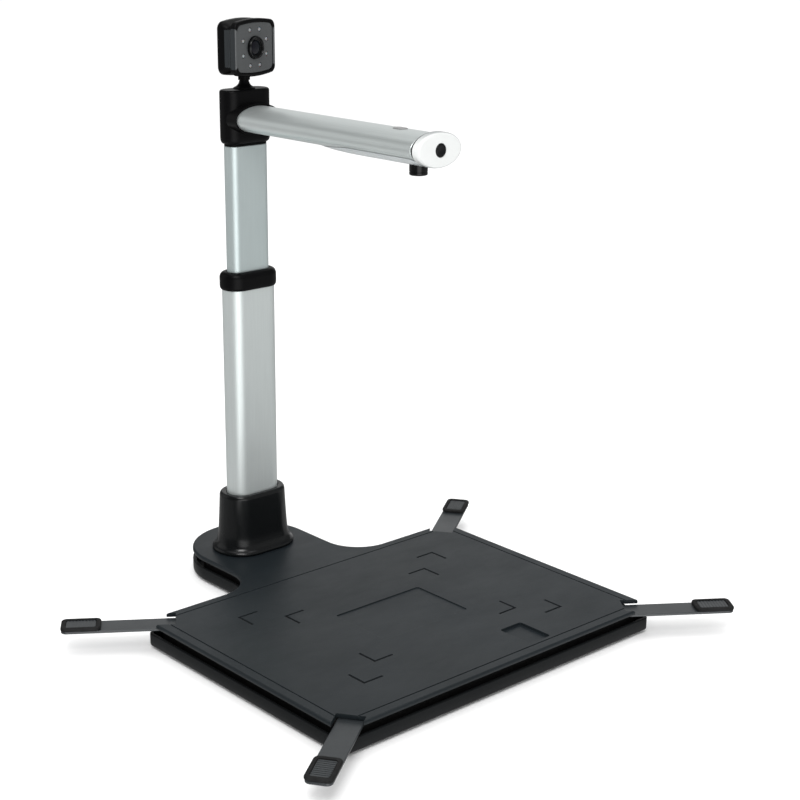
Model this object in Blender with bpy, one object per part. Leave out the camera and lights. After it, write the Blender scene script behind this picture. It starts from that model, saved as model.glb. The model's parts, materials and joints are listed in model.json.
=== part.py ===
"""Book scanner: a flat document base with four pull-out corner arms, a telescopic column, a swivelling
camera arm and a face camera on top. Units in the helpers are millimetres; the scene is in metres.
Axes: +Z up, +X to the user's right, -Y towards the user. Shapes are drawn from the deck's centre on
the table; the base's empty then moves them, so that the origin is the centre of the whole footprint."""

import math

import bmesh
import bpy
from mathutils import Matrix, Vector

MM = 0.001
GAP = 0.3  # clearance kept between pieces that touch

# ---- driving dimensions (mm) ----
BOARD_X = 330.0  # deck width
BOARD_Y = 245.0  # deck depth, without the column's tongue
CORNER_R = 6.0
TONGUE_Y = 198.0  # column axis, behind the deck
TONGUE_R = 54.0
TONGUE_FILLET_R = 34.0

TRAY_BOTTOM = 2.0
TRAY_FLOOR = 4.2
TRAY_TOP = 13.2
PLATE_BOTTOM = 20.4
PLATE_TOP = 24.0
CARRIER_INSET = 9.0
CARRIER_TOP = PLATE_BOTTOM - GAP

BAR_WIDTH = 20.0
BAR_THICK = 2.2
BAR_OUT = 68.6  # how far a bar's tip stands out of the deck's corner
BAR_IN = 60.0  # how far it stays inside
BAR_TRAVEL = 59.0
PAD_LENGTH = 32.0
PAD_WIDTH = 21.0
PAD_THICK = 2.5
NOTCH_WIDTH = 22.0
NOTCH_DEPTH = 23.2

CORE_X = 12.4  # half sides of the rectangle that every column section is rounded around
CORE_Y = 0.65
LOWER_R = 12.0  # rounding radius of the lower tube around that core, and so for the others
LOWER_WALL = 1.8
UPPER_R = 7.5
UPPER_WALL = 1.5
COLLAR_R = 13.9
BLOCK_R = 10.4
TUBE_BOTTOM = 28.3
COLLAR_BOTTOM = 260.0
COLLAR_TOP = 275.2
BUSH_BOTTOM = 226.0
SLIDE_BOTTOM = 150.0  # the upper tube's lower end
BLOCK_BOTTOM = 383.0
BLOCK_TOP = 427.6
SPIGOT_R = 6.0  # the pin the head swivels on
SPIGOT_TOP = 397.0
CABLE_HOLE_R = 9.0

ARM_HALF_X = 22.0
ARM_HALF_Z = 11.0
ARM_WALL = 1.8
ARM_Z = 404.0
ARM_BACK_Y = 189.3
ARM_FRONT_Y = -30.0
CAP_FRONT_Y = -39.5
CAP_HALF_Z = 13.3
CAP_Z = 403.6
POD_DROP = 13.8  # underside of the camera's housing, below the arm's axis
SLEEVE_FRONT_Y = 179.5  # front edge of the head block's sleeve around the arm
LENS_Y = -15.5
LENS_R = 7.0
LENS_TIP_Z = 382.6
KEY_Y = 5.0  # oval button on the arm
KEY_HALF_X = 0.3
KEY_HALF_Y = 2.8
KEY_R = 3.5
END_BUTTON_R = 5.0
END_BUTTON_Y = -36.0

ARM_ANGLE = math.radians(35.3)  # the corner arms' direction, from X
PAD_CORNER_R = 5.0

# The footprint reaches from the tips of the front pads to the end of the tongue.
PAD_REACH_Y = (
    BOARD_Y / 2
    + (BAR_OUT - PAD_CORNER_R) * math.sin(ARM_ANGLE)
    + (PAD_WIDTH / 2 - PAD_CORNER_R) * math.cos(ARM_ANGLE)
    + PAD_CORNER_R
)
FOOTPRINT_CENTRE_Y = (TONGUE_Y + TONGUE_R - PAD_REACH_Y) / 2

FACE_PAN = math.radians(12.0)  # the face camera looks a little to the user's right
FACE_Z = 461.5
FACE_HALF_X = 25.0
FACE_HALF_Z = 23.3
FACE_CORNER_R = 4.5
FACE_CROWN = 2.5  # how much lower the housing is at its sides than in the middle
FACE_FRONT_Y = TONGUE_Y - 13.5
FACE_LENS_R = 9.0
NECK_R = 4.0
NECK_BOTTOM = 417.2
TILT_Z = 445.0
TILT_PIN_R = 1.5
LUG_R = 3.4
LUG_HALF_X = 3.6
LED_COUNT = 8
LED_RING_R = 15.5
LED_R = 1.5

# ---- materials: colour, roughness, metallic ----
MATERIALS = {
    "deck_plastic": ((0.045, 0.052, 0.056), 0.38, 0.0),
    "tray_plastic": ((0.014, 0.015, 0.017), 0.42, 0.0),
    "black_plastic": ((0.008, 0.008, 0.009), 0.3, 0.0),
    "gloss_black": ((0.006, 0.006, 0.007), 0.08, 0.0),
    "carrier_plastic": ((0.01, 0.01, 0.011), 0.5, 0.0),
    "arm_metal": ((0.07, 0.075, 0.08), 0.35, 0.6),
    "aluminium": ((0.55, 0.58, 0.57), 0.25, 1.0),
    "pod_silver": ((0.5, 0.52, 0.53), 0.35, 0.4),
    "cap_white": ((0.8, 0.81, 0.8), 0.3, 0.0),
    "button_grey": ((0.3, 0.31, 0.31), 0.4, 0.0),
    "panel_grey": ((0.12, 0.12, 0.13), 0.15, 0.0),
    "rubber": ((0.012, 0.012, 0.012), 0.8, 0.0),
    "steel": ((0.4, 0.4, 0.41), 0.35, 1.0),
    "lens_glass": ((0.02, 0.02, 0.035), 0.03, 0.0),
    "led_lens": ((0.7, 0.72, 0.75), 0.2, 0.0),
    "circuit_board": ((0.02, 0.12, 0.05), 0.5, 0.0),
}


# ---- scene and object helpers ----
def clear_scene():
    for old in list(bpy.data.objects):
        bpy.data.objects.remove(old, do_unlink=True)


def material(slot):
    found = bpy.data.materials.get(slot)
    if found:
        return found
    colour, roughness, metallic = MATERIALS[slot]
    made = bpy.data.materials.new(slot)
    made.use_nodes = True
    shader = made.node_tree.nodes["Principled BSDF"]
    shader.inputs["Base Color"].default_value = (*colour, 1.0)
    shader.inputs["Roughness"].default_value = roughness
    shader.inputs["Metallic"].default_value = metallic
    return made


class Body:
    """A rigid group: an empty on its joint's axis, which its pieces are parented to."""

    def __init__(self, name, origin, parent=None, turn=0.0):
        self.origin = Vector(origin)
        self.empty = bpy.data.objects.new(name + "_axis", None)
        bpy.context.scene.collection.objects.link(self.empty)
        if parent:
            self.empty.parent = parent.empty
            self.empty.location = (self.origin - parent.origin) * MM
        else:
            self.empty.location = self.origin * MM
        self.empty.rotation_euler.z = turn

    def add(self, name, mesh, slot, smooth=35.0):
        """Makes an object of a bmesh drawn in millimetres, in this body's unturned frame."""
        bmesh.ops.recalc_face_normals(mesh, faces=mesh.faces)
        bmesh.ops.transform(
            mesh, matrix=Matrix.Scale(MM, 4) @ Matrix.Translation(-self.origin), verts=mesh.verts
        )
        data = bpy.data.meshes.new(name)
        mesh.to_mesh(data)
        mesh.free()
        piece = bpy.data.objects.new(name, data)
        bpy.context.scene.collection.objects.link(piece)
        piece.parent = self.empty
        if slot:
            data.materials.append(material(slot))
            data.shade_smooth()
            data.set_sharp_from_angle(angle=math.radians(smooth))
        return piece

    def shape(self, piece, operation, mesh):
        """Joins or cuts a piece with a hidden helper made of a bmesh in millimetres."""
        helper = self.add(piece.name + "_" + operation.lower(), mesh, None)
        helper.hide_render = True
        helper.display_type = "WIRE"
        change = piece.modifiers.new(operation.title(), "BOOLEAN")
        change.operation = operation
        change.object = helper

    def cut(self, piece, mesh):
        self.shape(piece, "DIFFERENCE", mesh)

    def join(self, piece, mesh):
        self.shape(piece, "UNION", mesh)


# ---- outlines, as lists of (x, y) in millimetres ----
def arc(centre_x, centre_y, radius, start, end, steps):
    points = []
    for step in range(steps + 1):
        angle = math.radians(start + (end - start) * step / steps)
        points.append((centre_x + radius * math.cos(angle), centre_y + radius * math.sin(angle)))
    return points


def base_outline(inset):
    """The deck's rectangle with the column's tongue at the back, drawn smaller by the inset."""
    corner = max(CORNER_R - inset, 1.0)
    x = BOARD_X / 2 - inset - corner
    y = BOARD_Y / 2 - inset - corner
    side = TONGUE_R + TONGUE_FILLET_R
    top = BOARD_Y / 2 + TONGUE_FILLET_R
    fillet = TONGUE_FILLET_R + inset
    points = arc(-x, -y, corner, 180, 270, 3)
    points += arc(x, -y, corner, 270, 360, 3)
    points += arc(x, y, corner, 0, 90, 3)
    points += arc(side, top, fillet, 270, 180, 6)
    points += arc(0, TONGUE_Y, TONGUE_R - inset, 0, 180, 16)
    points += arc(-side, top, fillet, 360, 270, 6)
    points += arc(-x, y, corner, 90, 180, 3)
    return points


def rounded_box(half_x, half_y, radius, centre=(0.0, 0.0), steps=4):
    """A rectangle of the given half sides, rounded outwards by the radius."""
    x, y = centre
    points = arc(x + half_x, y + half_y, radius, 0, 90, steps)
    points += arc(x - half_x, y + half_y, radius, 90, 180, steps)
    points += arc(x - half_x, y - half_y, radius, 180, 270, steps)
    points += arc(x + half_x, y - half_y, radius, 270, 360, steps)
    return points


def column_outline(radius):
    return rounded_box(CORE_X, CORE_Y, radius, (0.0, TONGUE_Y))


def ellipse(half_x, half_y, steps=32):
    return [
        (half_x * math.cos(math.tau * i / steps), half_y * math.sin(math.tau * i / steps))
        for i in range(steps)
    ]


def circle(radius, steps=20):
    return ellipse(radius, radius, steps)


# ---- solids, as bmeshes in millimetres ----
def loft(loops, closed=False, mesh=None):
    """Skins a chain of loops of equal length; the ends are capped, or joined when closed."""
    mesh = mesh or bmesh.new()
    rings = [[mesh.verts.new(point) for point in loop] for loop in loops]
    count = len(rings[0])
    pairs = list(zip(rings, rings[1:]))
    if closed:
        pairs.append((rings[-1], rings[0]))
    for lower, upper in pairs:
        for i in range(count):
            j = (i + 1) % count
            mesh.faces.new((lower[i], lower[j], upper[j], upper[i]))
    if not closed:
        mesh.faces.new(list(reversed(rings[0])))
        mesh.faces.new(rings[-1])
    return mesh


def level(outline, z):
    return [(x, y, z) for x, y in outline]


def along_y(outline, y, centre_x=0.0, centre_z=0.0):
    """An outline stood up in the XZ plane."""
    return [(centre_x + x, y, centre_z + z) for x, z in outline]


def prism(outline, low, high, mesh=None):
    return loft([level(outline, low), level(outline, high)], mesh=mesh)


def prism_y(outline, back, front, centre_z, centre_x=0.0):
    return loft([along_y(outline, y, centre_x, centre_z) for y in (back, front)])


def box(low, high, mesh=None):
    corners = [(low[0], low[1]), (high[0], low[1]), (high[0], high[1]), (low[0], high[1])]
    return prism(corners, low[2], high[2], mesh)


def disc(x, y, radius, low, high, steps=20, mesh=None):
    outline = [(x + px, y + py) for px, py in circle(radius, steps)]
    return prism(outline, low, high, mesh)


def turned(x, y, profile, steps=24):
    """A solid of revolution about a vertical axis; the profile is (radius, z) from end to end."""
    return loft([[(x + px, y + py, z) for px, py in circle(r, steps)] for r, z in profile])


def turned_y(x, z, profile, steps=24, mesh=None):
    """The same about an axis along Y; the profile is (radius, y)."""
    return loft([along_y(circle(r, steps), y, x, z) for r, y in profile], mesh=mesh)


def cylinder_x(radius, left, right, y, z, steps=20):
    outline = [(y + py, z + pz) for py, pz in circle(radius, steps)]
    return loft([[(x, py, pz) for py, pz in outline] for x in (left, right)])


def column_loft(profile, closed=False):
    """Skins column outlines; the profile is (rounding radius, z)."""
    return loft([level(column_outline(r), z) for r, z in profile], closed)


def placed(mesh, matrix):
    bmesh.ops.transform(mesh, matrix=matrix, verts=mesh.verts)
    return mesh


# ---- base ----
CORNERS = {
    "front_left": (-1, -1),
    "front_right": (1, -1),
    "back_left": (-1, 1),
    "back_right": (1, 1),
}


def arm_frame(sign_x, sign_y):
    """Places a shape drawn along +X from a deck corner onto that corner's diagonal."""
    angle = math.atan2(sign_y * math.sin(ARM_ANGLE), sign_x * math.cos(ARM_ANGLE))
    corner = Vector((sign_x * BOARD_X / 2, sign_y * BOARD_Y / 2, 0.0))
    return Matrix.Translation(corner) @ Matrix.Rotation(angle, 4, "Z")


SCREWS = [(-135.0, -30.0), (135.0, -30.0), (-36.0, 150.0), (36.0, 150.0)]
FEET = {
    "foot_front_left": (-140.0, -98.0),
    "foot_front_right": (140.0, -98.0),
    "foot_back_left": (-140.0, 98.0),
    "foot_back_right": (140.0, 98.0),
    "foot_tongue": (0.0, 228.0),
}
FOOT_R = 8.0
SCREW_R = 1.6
INLET_HALF_X = 5.2
INLET_LOW = 6.5
INLET_HIGH = 12.9
INLET_WALL = 0.8
CHANNEL_FLOOR = CARRIER_TOP - BAR_THICK - GAP
CEILING = CHANNEL_FLOOR - 1.6
STOP_S = -54.0  # the stop pin's place on its bar, measured outwards from the deck's corner
STOP_R = 2.0


def make_tray(base):
    sections = [
        (2.2, TRAY_BOTTOM),
        (0.7, TRAY_BOTTOM + 0.6),
        (0.0, TRAY_BOTTOM + 2.2),
        (0.0, TRAY_TOP - 0.7),
        (0.7, TRAY_TOP),
        (2.8, TRAY_TOP),
        (2.8, TRAY_FLOOR),
    ]
    tray = base.add(
        "lower_tray", loft([level(base_outline(d), z) for d, z in sections]), "tray_plastic"
    )
    holes = bmesh.new()
    for x, y in FEET.values():
        disc(x, y, FOOT_R + GAP, 0.5, TRAY_BOTTOM + 1.3, mesh=holes)
    for x, y in SCREWS:
        disc(x, y, SCREW_R + 0.4, 0.5, 6.0, 16, mesh=holes)
    base.cut(tray, holes)
    sinks = bmesh.new()
    for x, y in SCREWS:
        disc(x, y, 3.6, 0.5, TRAY_BOTTOM + 1.2, 20, mesh=sinks)
    base.cut(tray, sinks)
    notch = INLET_HALF_X + GAP
    base.cut(tray, box((-notch, 240.0, INLET_LOW - GAP), (notch, 260.0, 20.0)))


def make_feet(base):
    for name, (x, y) in FEET.items():
        top = TRAY_BOTTOM + 1.0
        profile = [(FOOT_R - 0.8, 0.0), (FOOT_R, 0.8), (FOOT_R, top)]
        base.add(name, turned(x, y, profile, 20), "rubber")


def make_screws(base):
    for i, (x, y) in enumerate(SCREWS):
        profile = [(3.3, 2.3), (3.3, 2.9), (SCREW_R, 3.1), (SCREW_R, 11.5), (0.8, 12.3)]
        screw = base.add(f"base_screw_{i + 1}", turned(x, y, profile, 12), "steel")
        drive = box((x - 2.2, y - 0.35, 1.0), (x + 2.2, y + 0.35, 2.7))
        base.cut(screw, drive)


def make_carrier(base):
    """A shell open below; its roof has a channel for each corner arm."""
    outer = CARRIER_INSET
    chain = [
        (outer + 2.0, CEILING),
        (outer + 2.0, TRAY_FLOOR + GAP),
        (outer, TRAY_FLOOR + GAP),
        (outer, CARRIER_TOP),
    ]
    carrier = base.add(
        "slide_carrier", loft([level(base_outline(d), z) for d, z in chain]), "carrier_plastic"
    )
    bosses = bmesh.new()
    for x, y in SCREWS:
        disc(x, y, 4.5, TRAY_FLOOR + GAP, CEILING + 0.5, 20, mesh=bosses)
    base.join(carrier, bosses)
    bores = bmesh.new()
    for x, y in SCREWS:
        disc(x, y, SCREW_R + GAP, 3.0, 12.8, 16, mesh=bores)
    disc(0.0, TONGUE_Y, CABLE_HOLE_R, CEILING - 1.0, CARRIER_TOP + 1.0, mesh=bores)
    base.cut(carrier, bores)
    half = BAR_WIDTH / 2 + 0.4
    inner = -BAR_IN - BAR_TRAVEL - 1.0
    for signs in CORNERS.values():
        channel = box((inner, -half, CHANNEL_FLOOR), (30.0, half, CARRIER_TOP + 1.0))
        base.cut(carrier, placed(channel, arm_frame(*signs)))
        run = rounded_slot(STOP_S - BAR_TRAVEL - 0.4, STOP_S + 0.4, STOP_R + GAP)
        base.cut(carrier, placed(prism(run, CEILING - 1.0, CARRIER_TOP + 0.5), arm_frame(*signs)))
    notch = INLET_HALF_X + GAP
    base.cut(carrier, box((-notch, 238.0, 0.0), (notch, 250.0, INLET_HIGH + GAP)))


def rounded_slot(start, end, radius):
    return arc(end, 0.0, radius, -90, 90, 8) + arc(start, 0.0, radius, 90, 270, 8)


def corner_mark(x, y, leg, width):
    """The L of a paper corner: one closed outline with its legs pointing to the deck's centre."""
    sx, sy = math.copysign(1, x), math.copysign(1, y)
    points = [(0, 0), (-leg, 0), (-leg, -width), (-width, -width), (-width, -leg), (0, -leg)]
    return [(x + sx * px, y + sy * py) for px, py in points]


def make_top_plate(base):
    sections = [
        (0.4, PLATE_BOTTOM),
        (0.0, PLATE_BOTTOM + 0.5),
        (0.0, PLATE_TOP - 1.4),
        (0.4, PLATE_TOP - 0.5),
        (1.5, PLATE_TOP),
    ]
    plate = base.add(
        "top_plate", loft([level(base_outline(d), z) for d, z in sections]), "deck_plastic"
    )
    groove = []
    for inset, z in ((8.4, PLATE_TOP - 0.7), (9.4, PLATE_TOP - 0.7), (9.4, 30.0), (8.4, 30.0)):
        x = BOARD_X / 2 - inset
        y = BOARD_Y / 2 - inset
        groove.append(level([(-x, -y), (x, -y), (x, y), (-x, y)], z))
    base.cut(plate, loft(groove, closed=True))
    marks = bmesh.new()
    for sx, sy in CORNERS.values():
        for x, y in ((107.0, 78.0), (77.0, 55.5)):
            prism(corner_mark(sx * x, sy * y, 19.0, 1.5), PLATE_TOP - 0.6, 30.0, marks)
    box((-45.0, -31.0, PLATE_TOP - 0.8), (45.0, 29.0, 30.0), marks)
    box((36.0, -110.0, PLATE_TOP - 2.2), (59.0, -77.0, 30.0), marks)
    disc(0.0, TONGUE_Y, CABLE_HOLE_R, PLATE_BOTTOM - 1.0, 30.0, mesh=marks)
    base.cut(plate, marks)
    half = NOTCH_WIDTH / 2
    for signs in CORNERS.values():
        notch = box((-NOTCH_DEPTH, -half, PLATE_BOTTOM - 1.0), (30.0, half, 30.0))
        base.cut(plate, placed(notch, arm_frame(*signs)))


def make_corner_arms(base):
    for corner, signs in CORNERS.items():
        frame = arm_frame(*signs)
        pad_start = BAR_OUT - PAD_LENGTH
        arm = Body("arm_" + corner, frame @ Vector((0.0, 0.0, CHANNEL_FLOOR)), base)
        top = CARRIER_TOP
        tip = rounded_tip(-BAR_IN, BAR_OUT - 0.6, BAR_WIDTH / 2, 4.5)
        bar = prism(tip, top - BAR_THICK, top)
        bar = arm.add("corner_arm_" + corner, placed(bar, frame), "arm_metal")
        hole = disc(STOP_S, 0.0, STOP_R + GAP, top - 4.0, top + 1.0, 16)
        arm.cut(bar, placed(hole, frame))
        shoulder = CEILING - GAP
        profile = [(3.4, CEILING - 1.8), (3.4, shoulder), (STOP_R, shoulder), (STOP_R, top - GAP)]
        pin = turned(STOP_S, 0.0, profile, 16)
        arm.add("stop_pin_" + corner, placed(pin, frame), "steel")
        low = top + GAP
        outline = rounded_tip(pad_start, BAR_OUT, PAD_WIDTH / 2, PAD_CORNER_R)
        pad = loft([level(outline, low), level(outline, low + PAD_THICK)])
        pad = arm.add("arm_pad_" + corner, placed(pad, frame), "rubber")
        middle = (pad_start + PAD_LENGTH / 2, 0.0)
        hollow = rounded_box(PAD_LENGTH / 2 - 6.0, PAD_WIDTH / 2 - 5.0, 2.0, middle)
        arm.cut(pad, placed(prism(hollow, low + PAD_THICK - 1.2, low + 10.0), frame))


def rounded_tip(start, end, half, radius):
    """A bar's outline from start to end along +X, with rounded corners at its far end."""
    points = [(start, -half)]
    points += arc(end - radius, -half + radius, radius, 270, 360, 6)
    points += arc(end - radius, half - radius, radius, 0, 90, 6)
    points.append((start, half))
    return points


def make_base_insides(base):
    base.add("ballast_plate", box((-75.0, 0.0, 4.5), (75.0, 105.0, 8.5)), "steel")
    board = box((-22.0, 196.0, 4.6), (22.0, 233.0, 6.2))
    base.add("hub_board", board, "circuit_board")
    inlet = box((-INLET_HALF_X, 232.0, INLET_LOW), (INLET_HALF_X, 251.4, INLET_HIGH))
    inlet = base.add("cable_inlet", inlet, "steel")
    half = INLET_HALF_X - INLET_WALL
    mouth = box((-half, 243.0, INLET_LOW + INLET_WALL), (half, 260.0, INLET_HIGH - INLET_WALL))
    base.cut(inlet, mouth)


# ---- column ----
def make_column_base(base):
    bore = LOWER_R + GAP
    foot = [(25.0, 24.3), (26.0, 25.1), (26.0, 26.6), (24.6, 28.4), (22.6, 31.4), (21.2, 35.4)]
    sleeve = [(20.2, 41.4), (19.2, 58.0), (18.4, 75.0), (17.0, 77.4), (bore + 1.0, 77.4)]
    inside = [(bore, 76.4), (bore, TUBE_BOTTOM - GAP)]
    socket = column_loft(foot + sleeve + inside)
    socket = base.add("column_socket", socket, "gloss_black")
    base.cut(socket, disc(0.0, TONGUE_Y, 6.0, 20.0, 32.0))
    step = COLLAR_BOTTOM + 9.4
    tube_top = step - GAP
    inner = LOWER_R - LOWER_WALL
    tube = [(LOWER_R, TUBE_BOTTOM), (LOWER_R, tube_top), (inner, tube_top), (inner, TUBE_BOTTOM)]
    base.add("lower_tube", column_loft(tube, closed=True), "aluminium")
    outside = [
        (COLLAR_R - 1.4, COLLAR_BOTTOM),
        (COLLAR_R - 0.4, COLLAR_BOTTOM + 1.2),
        (COLLAR_R, COLLAR_BOTTOM + 3.6),
        (COLLAR_R, COLLAR_TOP - 4.8),
        (COLLAR_R - 0.8, COLLAR_TOP - 2.2),
        (COLLAR_R - 2.6, COLLAR_TOP - 0.5),
        (COLLAR_R - 4.6, COLLAR_TOP),
    ]
    neck = UPPER_R + GAP
    inside = [(neck, COLLAR_TOP), (neck, step), (bore, step), (bore, COLLAR_BOTTOM)]
    base.add("collar", column_loft(outside + inside, closed=True), "black_plastic")
    outer = inner - GAP
    bush_top = step - 2 * GAP
    bush = [(outer, BUSH_BOTTOM), (outer, bush_top), (neck, bush_top), (neck, BUSH_BOTTOM)]
    base.add("guide_bush", column_loft(bush, closed=True), "carrier_plastic")


def make_upper_column(column):
    inner = UPPER_R - UPPER_WALL
    fill = inner - GAP
    top = BLOCK_BOTTOM - 1.8
    tube = [(UPPER_R, SLIDE_BOTTOM), (UPPER_R, top), (inner, top), (inner, SLIDE_BOTTOM)]
    column.add("upper_tube", column_loft(tube, closed=True), "aluminium")
    outer = LOWER_R - LOWER_WALL - GAP
    shoe_top = SLIDE_BOTTOM - GAP
    shoe = [
        (outer - 0.5, shoe_top - 13.7),
        (outer, shoe_top - 12.7),
        (outer, shoe_top),
        (fill, shoe_top),
        (fill, shoe_top + 10.3),
    ]
    column.add("glide_shoe", column_loft(shoe), "carrier_plastic")
    flange = top + GAP
    plug = [(fill, top - 19.9), (fill, flange), (UPPER_R - 0.1, flange), (UPPER_R - 0.1, flange + 1.2)]
    plug = column.add("swivel_plug", column_loft(plug), "black_plastic")
    column.join(plug, disc(0.0, TONGUE_Y, SPIGOT_R, flange - 2.0, SPIGOT_TOP, 28))


# ---- head: block, arm and camera ----
def make_head_block(head):
    sections = [
        (BLOCK_R - 3.4, BLOCK_BOTTOM),
        (BLOCK_R - 1.4, BLOCK_BOTTOM + 0.8),
        (BLOCK_R - 0.3, BLOCK_BOTTOM + 2.6),
        (BLOCK_R, BLOCK_BOTTOM + 5.4),
        (BLOCK_R, BLOCK_TOP - 2.0),
        (BLOCK_R - 0.8, BLOCK_TOP - 0.6),
        (BLOCK_R - 2.2, BLOCK_TOP),
    ]
    block = head.add("head_block", column_loft(sections), "black_plastic")
    sleeve = ellipse(ARM_HALF_X + 1.6, ARM_HALF_Z + 1.7)
    head.join(block, prism_y(sleeve, 192.0, SLEEVE_FRONT_Y, ARM_Z))
    head.cut(block, prism_y(arm_section(GAP), ARM_BACK_Y + GAP, 150.0, ARM_Z))
    head.cut(block, disc(0.0, TONGUE_Y, SPIGOT_R + GAP, 370.0, SPIGOT_TOP + 0.5, 28))
    head.cut(block, disc(0.0, TONGUE_Y, NECK_R + GAP, NECK_BOTTOM - 0.5, 440.0, 24))


def arm_section(grow, steps=32):
    return ellipse(ARM_HALF_X + grow, ARM_HALF_Z + grow, steps)


def cap_section(size):
    return ellipse(ARM_HALF_X * size, CAP_HALF_Z * size)


def oval_tube(outside, inside, back, front, centre_z):
    """A length of tube along Y between two sections."""
    chain = [(outside, back), (outside, front), (inside, front), (inside, back)]
    return loft([along_y(outline, y, 0.0, centre_z) for outline, y in chain], closed=True)


def make_arm(head):
    tube = oval_tube(arm_section(0.0), arm_section(-ARM_WALL), ARM_BACK_Y, ARM_FRONT_Y, ARM_Z)
    tube = head.add("camera_arm", tube, "aluminium")
    head.cut(tube, disc(0.0, LENS_Y, LENS_R + GAP, 380.0, 397.5, 28))
    keyhole = rounded_box(KEY_HALF_X, KEY_HALF_Y, KEY_R + GAP, (0.0, KEY_Y))
    head.cut(tube, prism(keyhole, 410.0, 425.0))
    pod = []
    pod_steps = [
        (0.45, 95.0), (0.8, 76.0), (0.95, 60.0), (1.0, 46.0), (1.0, -24.0), (0.97, -28.0), (0.93, -29.7),
    ]
    for size, y in pod_steps:
        section = ellipse(20.5 * size, POD_DROP - 3.2 * (1.0 - size))
        pod.append(along_y(section, y, 0.0, ARM_Z))
    pod = head.add("camera_pod", loft(pod), "pod_silver")
    head.cut(pod, prism_y(arm_section(GAP, 64), 110.0, -60.0, ARM_Z))
    head.cut(pod, box((-40.0, -60.0, ARM_Z - 3.0), (40.0, 110.0, 450.0)))
    head.cut(pod, disc(0.0, LENS_Y, LENS_R + GAP, 370.0, 400.0, 28))
    seam_back = ARM_FRONT_Y - GAP
    seam_front = seam_back - 1.2
    seam = oval_tube(cap_section(0.965), cap_section(0.8), seam_back, seam_front, CAP_Z)
    head.add("seam_ring", seam, "black_plastic")
    cap = []
    cap_back = seam_front - GAP
    for size, y in ((1.0, cap_back), (1.0, -36.5), (0.975, -38.4), (0.93, CAP_FRONT_Y)):
        cap.append(along_y(cap_section(size), y, 0.0, CAP_Z))
    cap = head.add("end_cap", loft(cap), "cap_white")
    pocket = END_BUTTON_R + GAP
    head.cut(cap, turned_y(0.0, CAP_Z, [(pocket, END_BUTTON_Y + 1.4), (pocket, -50.0)]))


def make_lens(head):
    """The document camera's lens, which looks down through the arm's tip."""
    tip = LENS_TIP_Z
    bore = 5.2
    barrel = [(LENS_R, 396.7), (LENS_R, tip + 0.8), (LENS_R - 0.6, tip), (bore, tip), (bore, tip + 2.2)]
    head.add("lens_barrel", turned(0.0, LENS_Y, barrel), "gloss_black")
    glass = [(bore - GAP, tip + 1.9), (bore - GAP, tip + 1.5), (3.6, tip + 0.9), (1.8, tip + 0.6)]
    head.add("lens_window", turned(0.0, LENS_Y, glass, 24), "lens_glass")
    head.add("camera_board", box((-10.0, -26.0, 397.0), (10.0, 44.0, 398.6)), "circuit_board")


def make_buttons(head):
    button = Body("end_button", (0.0, END_BUTTON_Y, CAP_Z), head)
    face = CAP_FRONT_Y - 0.8
    profile = [(END_BUTTON_R, END_BUTTON_Y), (END_BUTTON_R, face + 0.7), (END_BUTTON_R - 0.7, face)]
    button.add("end_button", turned_y(0.0, CAP_Z, profile, 24), "black_plastic")
    top = ARM_Z + ARM_HALF_Z
    key = Body("top_button", (0.0, KEY_Y, top), head)
    outline = rounded_box(KEY_HALF_X, KEY_HALF_Y, KEY_R, (0.0, KEY_Y))
    inner = rounded_box(KEY_HALF_X, KEY_HALF_Y, KEY_R - 0.6, (0.0, KEY_Y))
    sections = [level(outline, top - 3.4), level(outline, top + 0.1), level(inner, top + 0.7)]
    key.add("top_button", loft(sections), "button_grey")


# ---- face camera ----
def make_neck(pan):
    low = BLOCK_TOP + GAP
    shaft = [(NECK_R, NECK_BOTTOM), (NECK_R, low)]
    flare = [(9.5, low), (8.6, low + 0.8), (6.4, low + 2.0), (4.9, low + 3.6), (4.1, low + 5.6), (3.8, 436.0)]
    neck = pan.add("face_neck", turned(0.0, TONGUE_Y, shaft + flare), "black_plastic")
    lug = [(TONGUE_Y - LUG_R, 434.6), (TONGUE_Y + LUG_R, 434.6)]
    lug += arc(TONGUE_Y, TILT_Z, LUG_R, 0, 180, 10)
    pan.join(neck, loft([[(x, y, z) for y, z in lug] for x in (-LUG_HALF_X, LUG_HALF_X)]))
    pan.cut(neck, cylinder_x(TILT_PIN_R + GAP, -20.0, 20.0, TONGUE_Y, TILT_Z))


def face_outline(shrink_x, shrink_z):
    """The face camera's section: a soft-cornered square with a crowned top and bottom."""
    half_x = FACE_HALF_X - FACE_CORNER_R - shrink_x
    half_z = FACE_HALF_Z - FACE_CORNER_R - shrink_z
    upper = arc(half_x, half_z, FACE_CORNER_R, 0, 90, 4)
    upper += [(half_x * share, half_z + FACE_CORNER_R) for share in (0.6, 0.2, -0.2, -0.6)]
    upper += arc(-half_x, half_z, FACE_CORNER_R, 90, 180, 4)
    upper = [(x, z - FACE_CROWN * (x / FACE_HALF_X) ** 2) for x, z in upper]
    return upper + [(-x, -z) for x, z in upper]


def face_loft(chain, closed=False):
    """Skins face outlines, each given as (shrink along X, shrink along Z, Y)."""
    loops = [along_y(face_outline(sx, sz), y, 0.0, FACE_Z) for sx, sz, y in chain]
    return loft(loops, closed)


def led_places():
    for i in range(LED_COUNT):
        angle = math.tau * (i + 0.5) / LED_COUNT
        yield LED_RING_R * math.cos(angle), FACE_Z + LED_RING_R * math.sin(angle)


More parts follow.
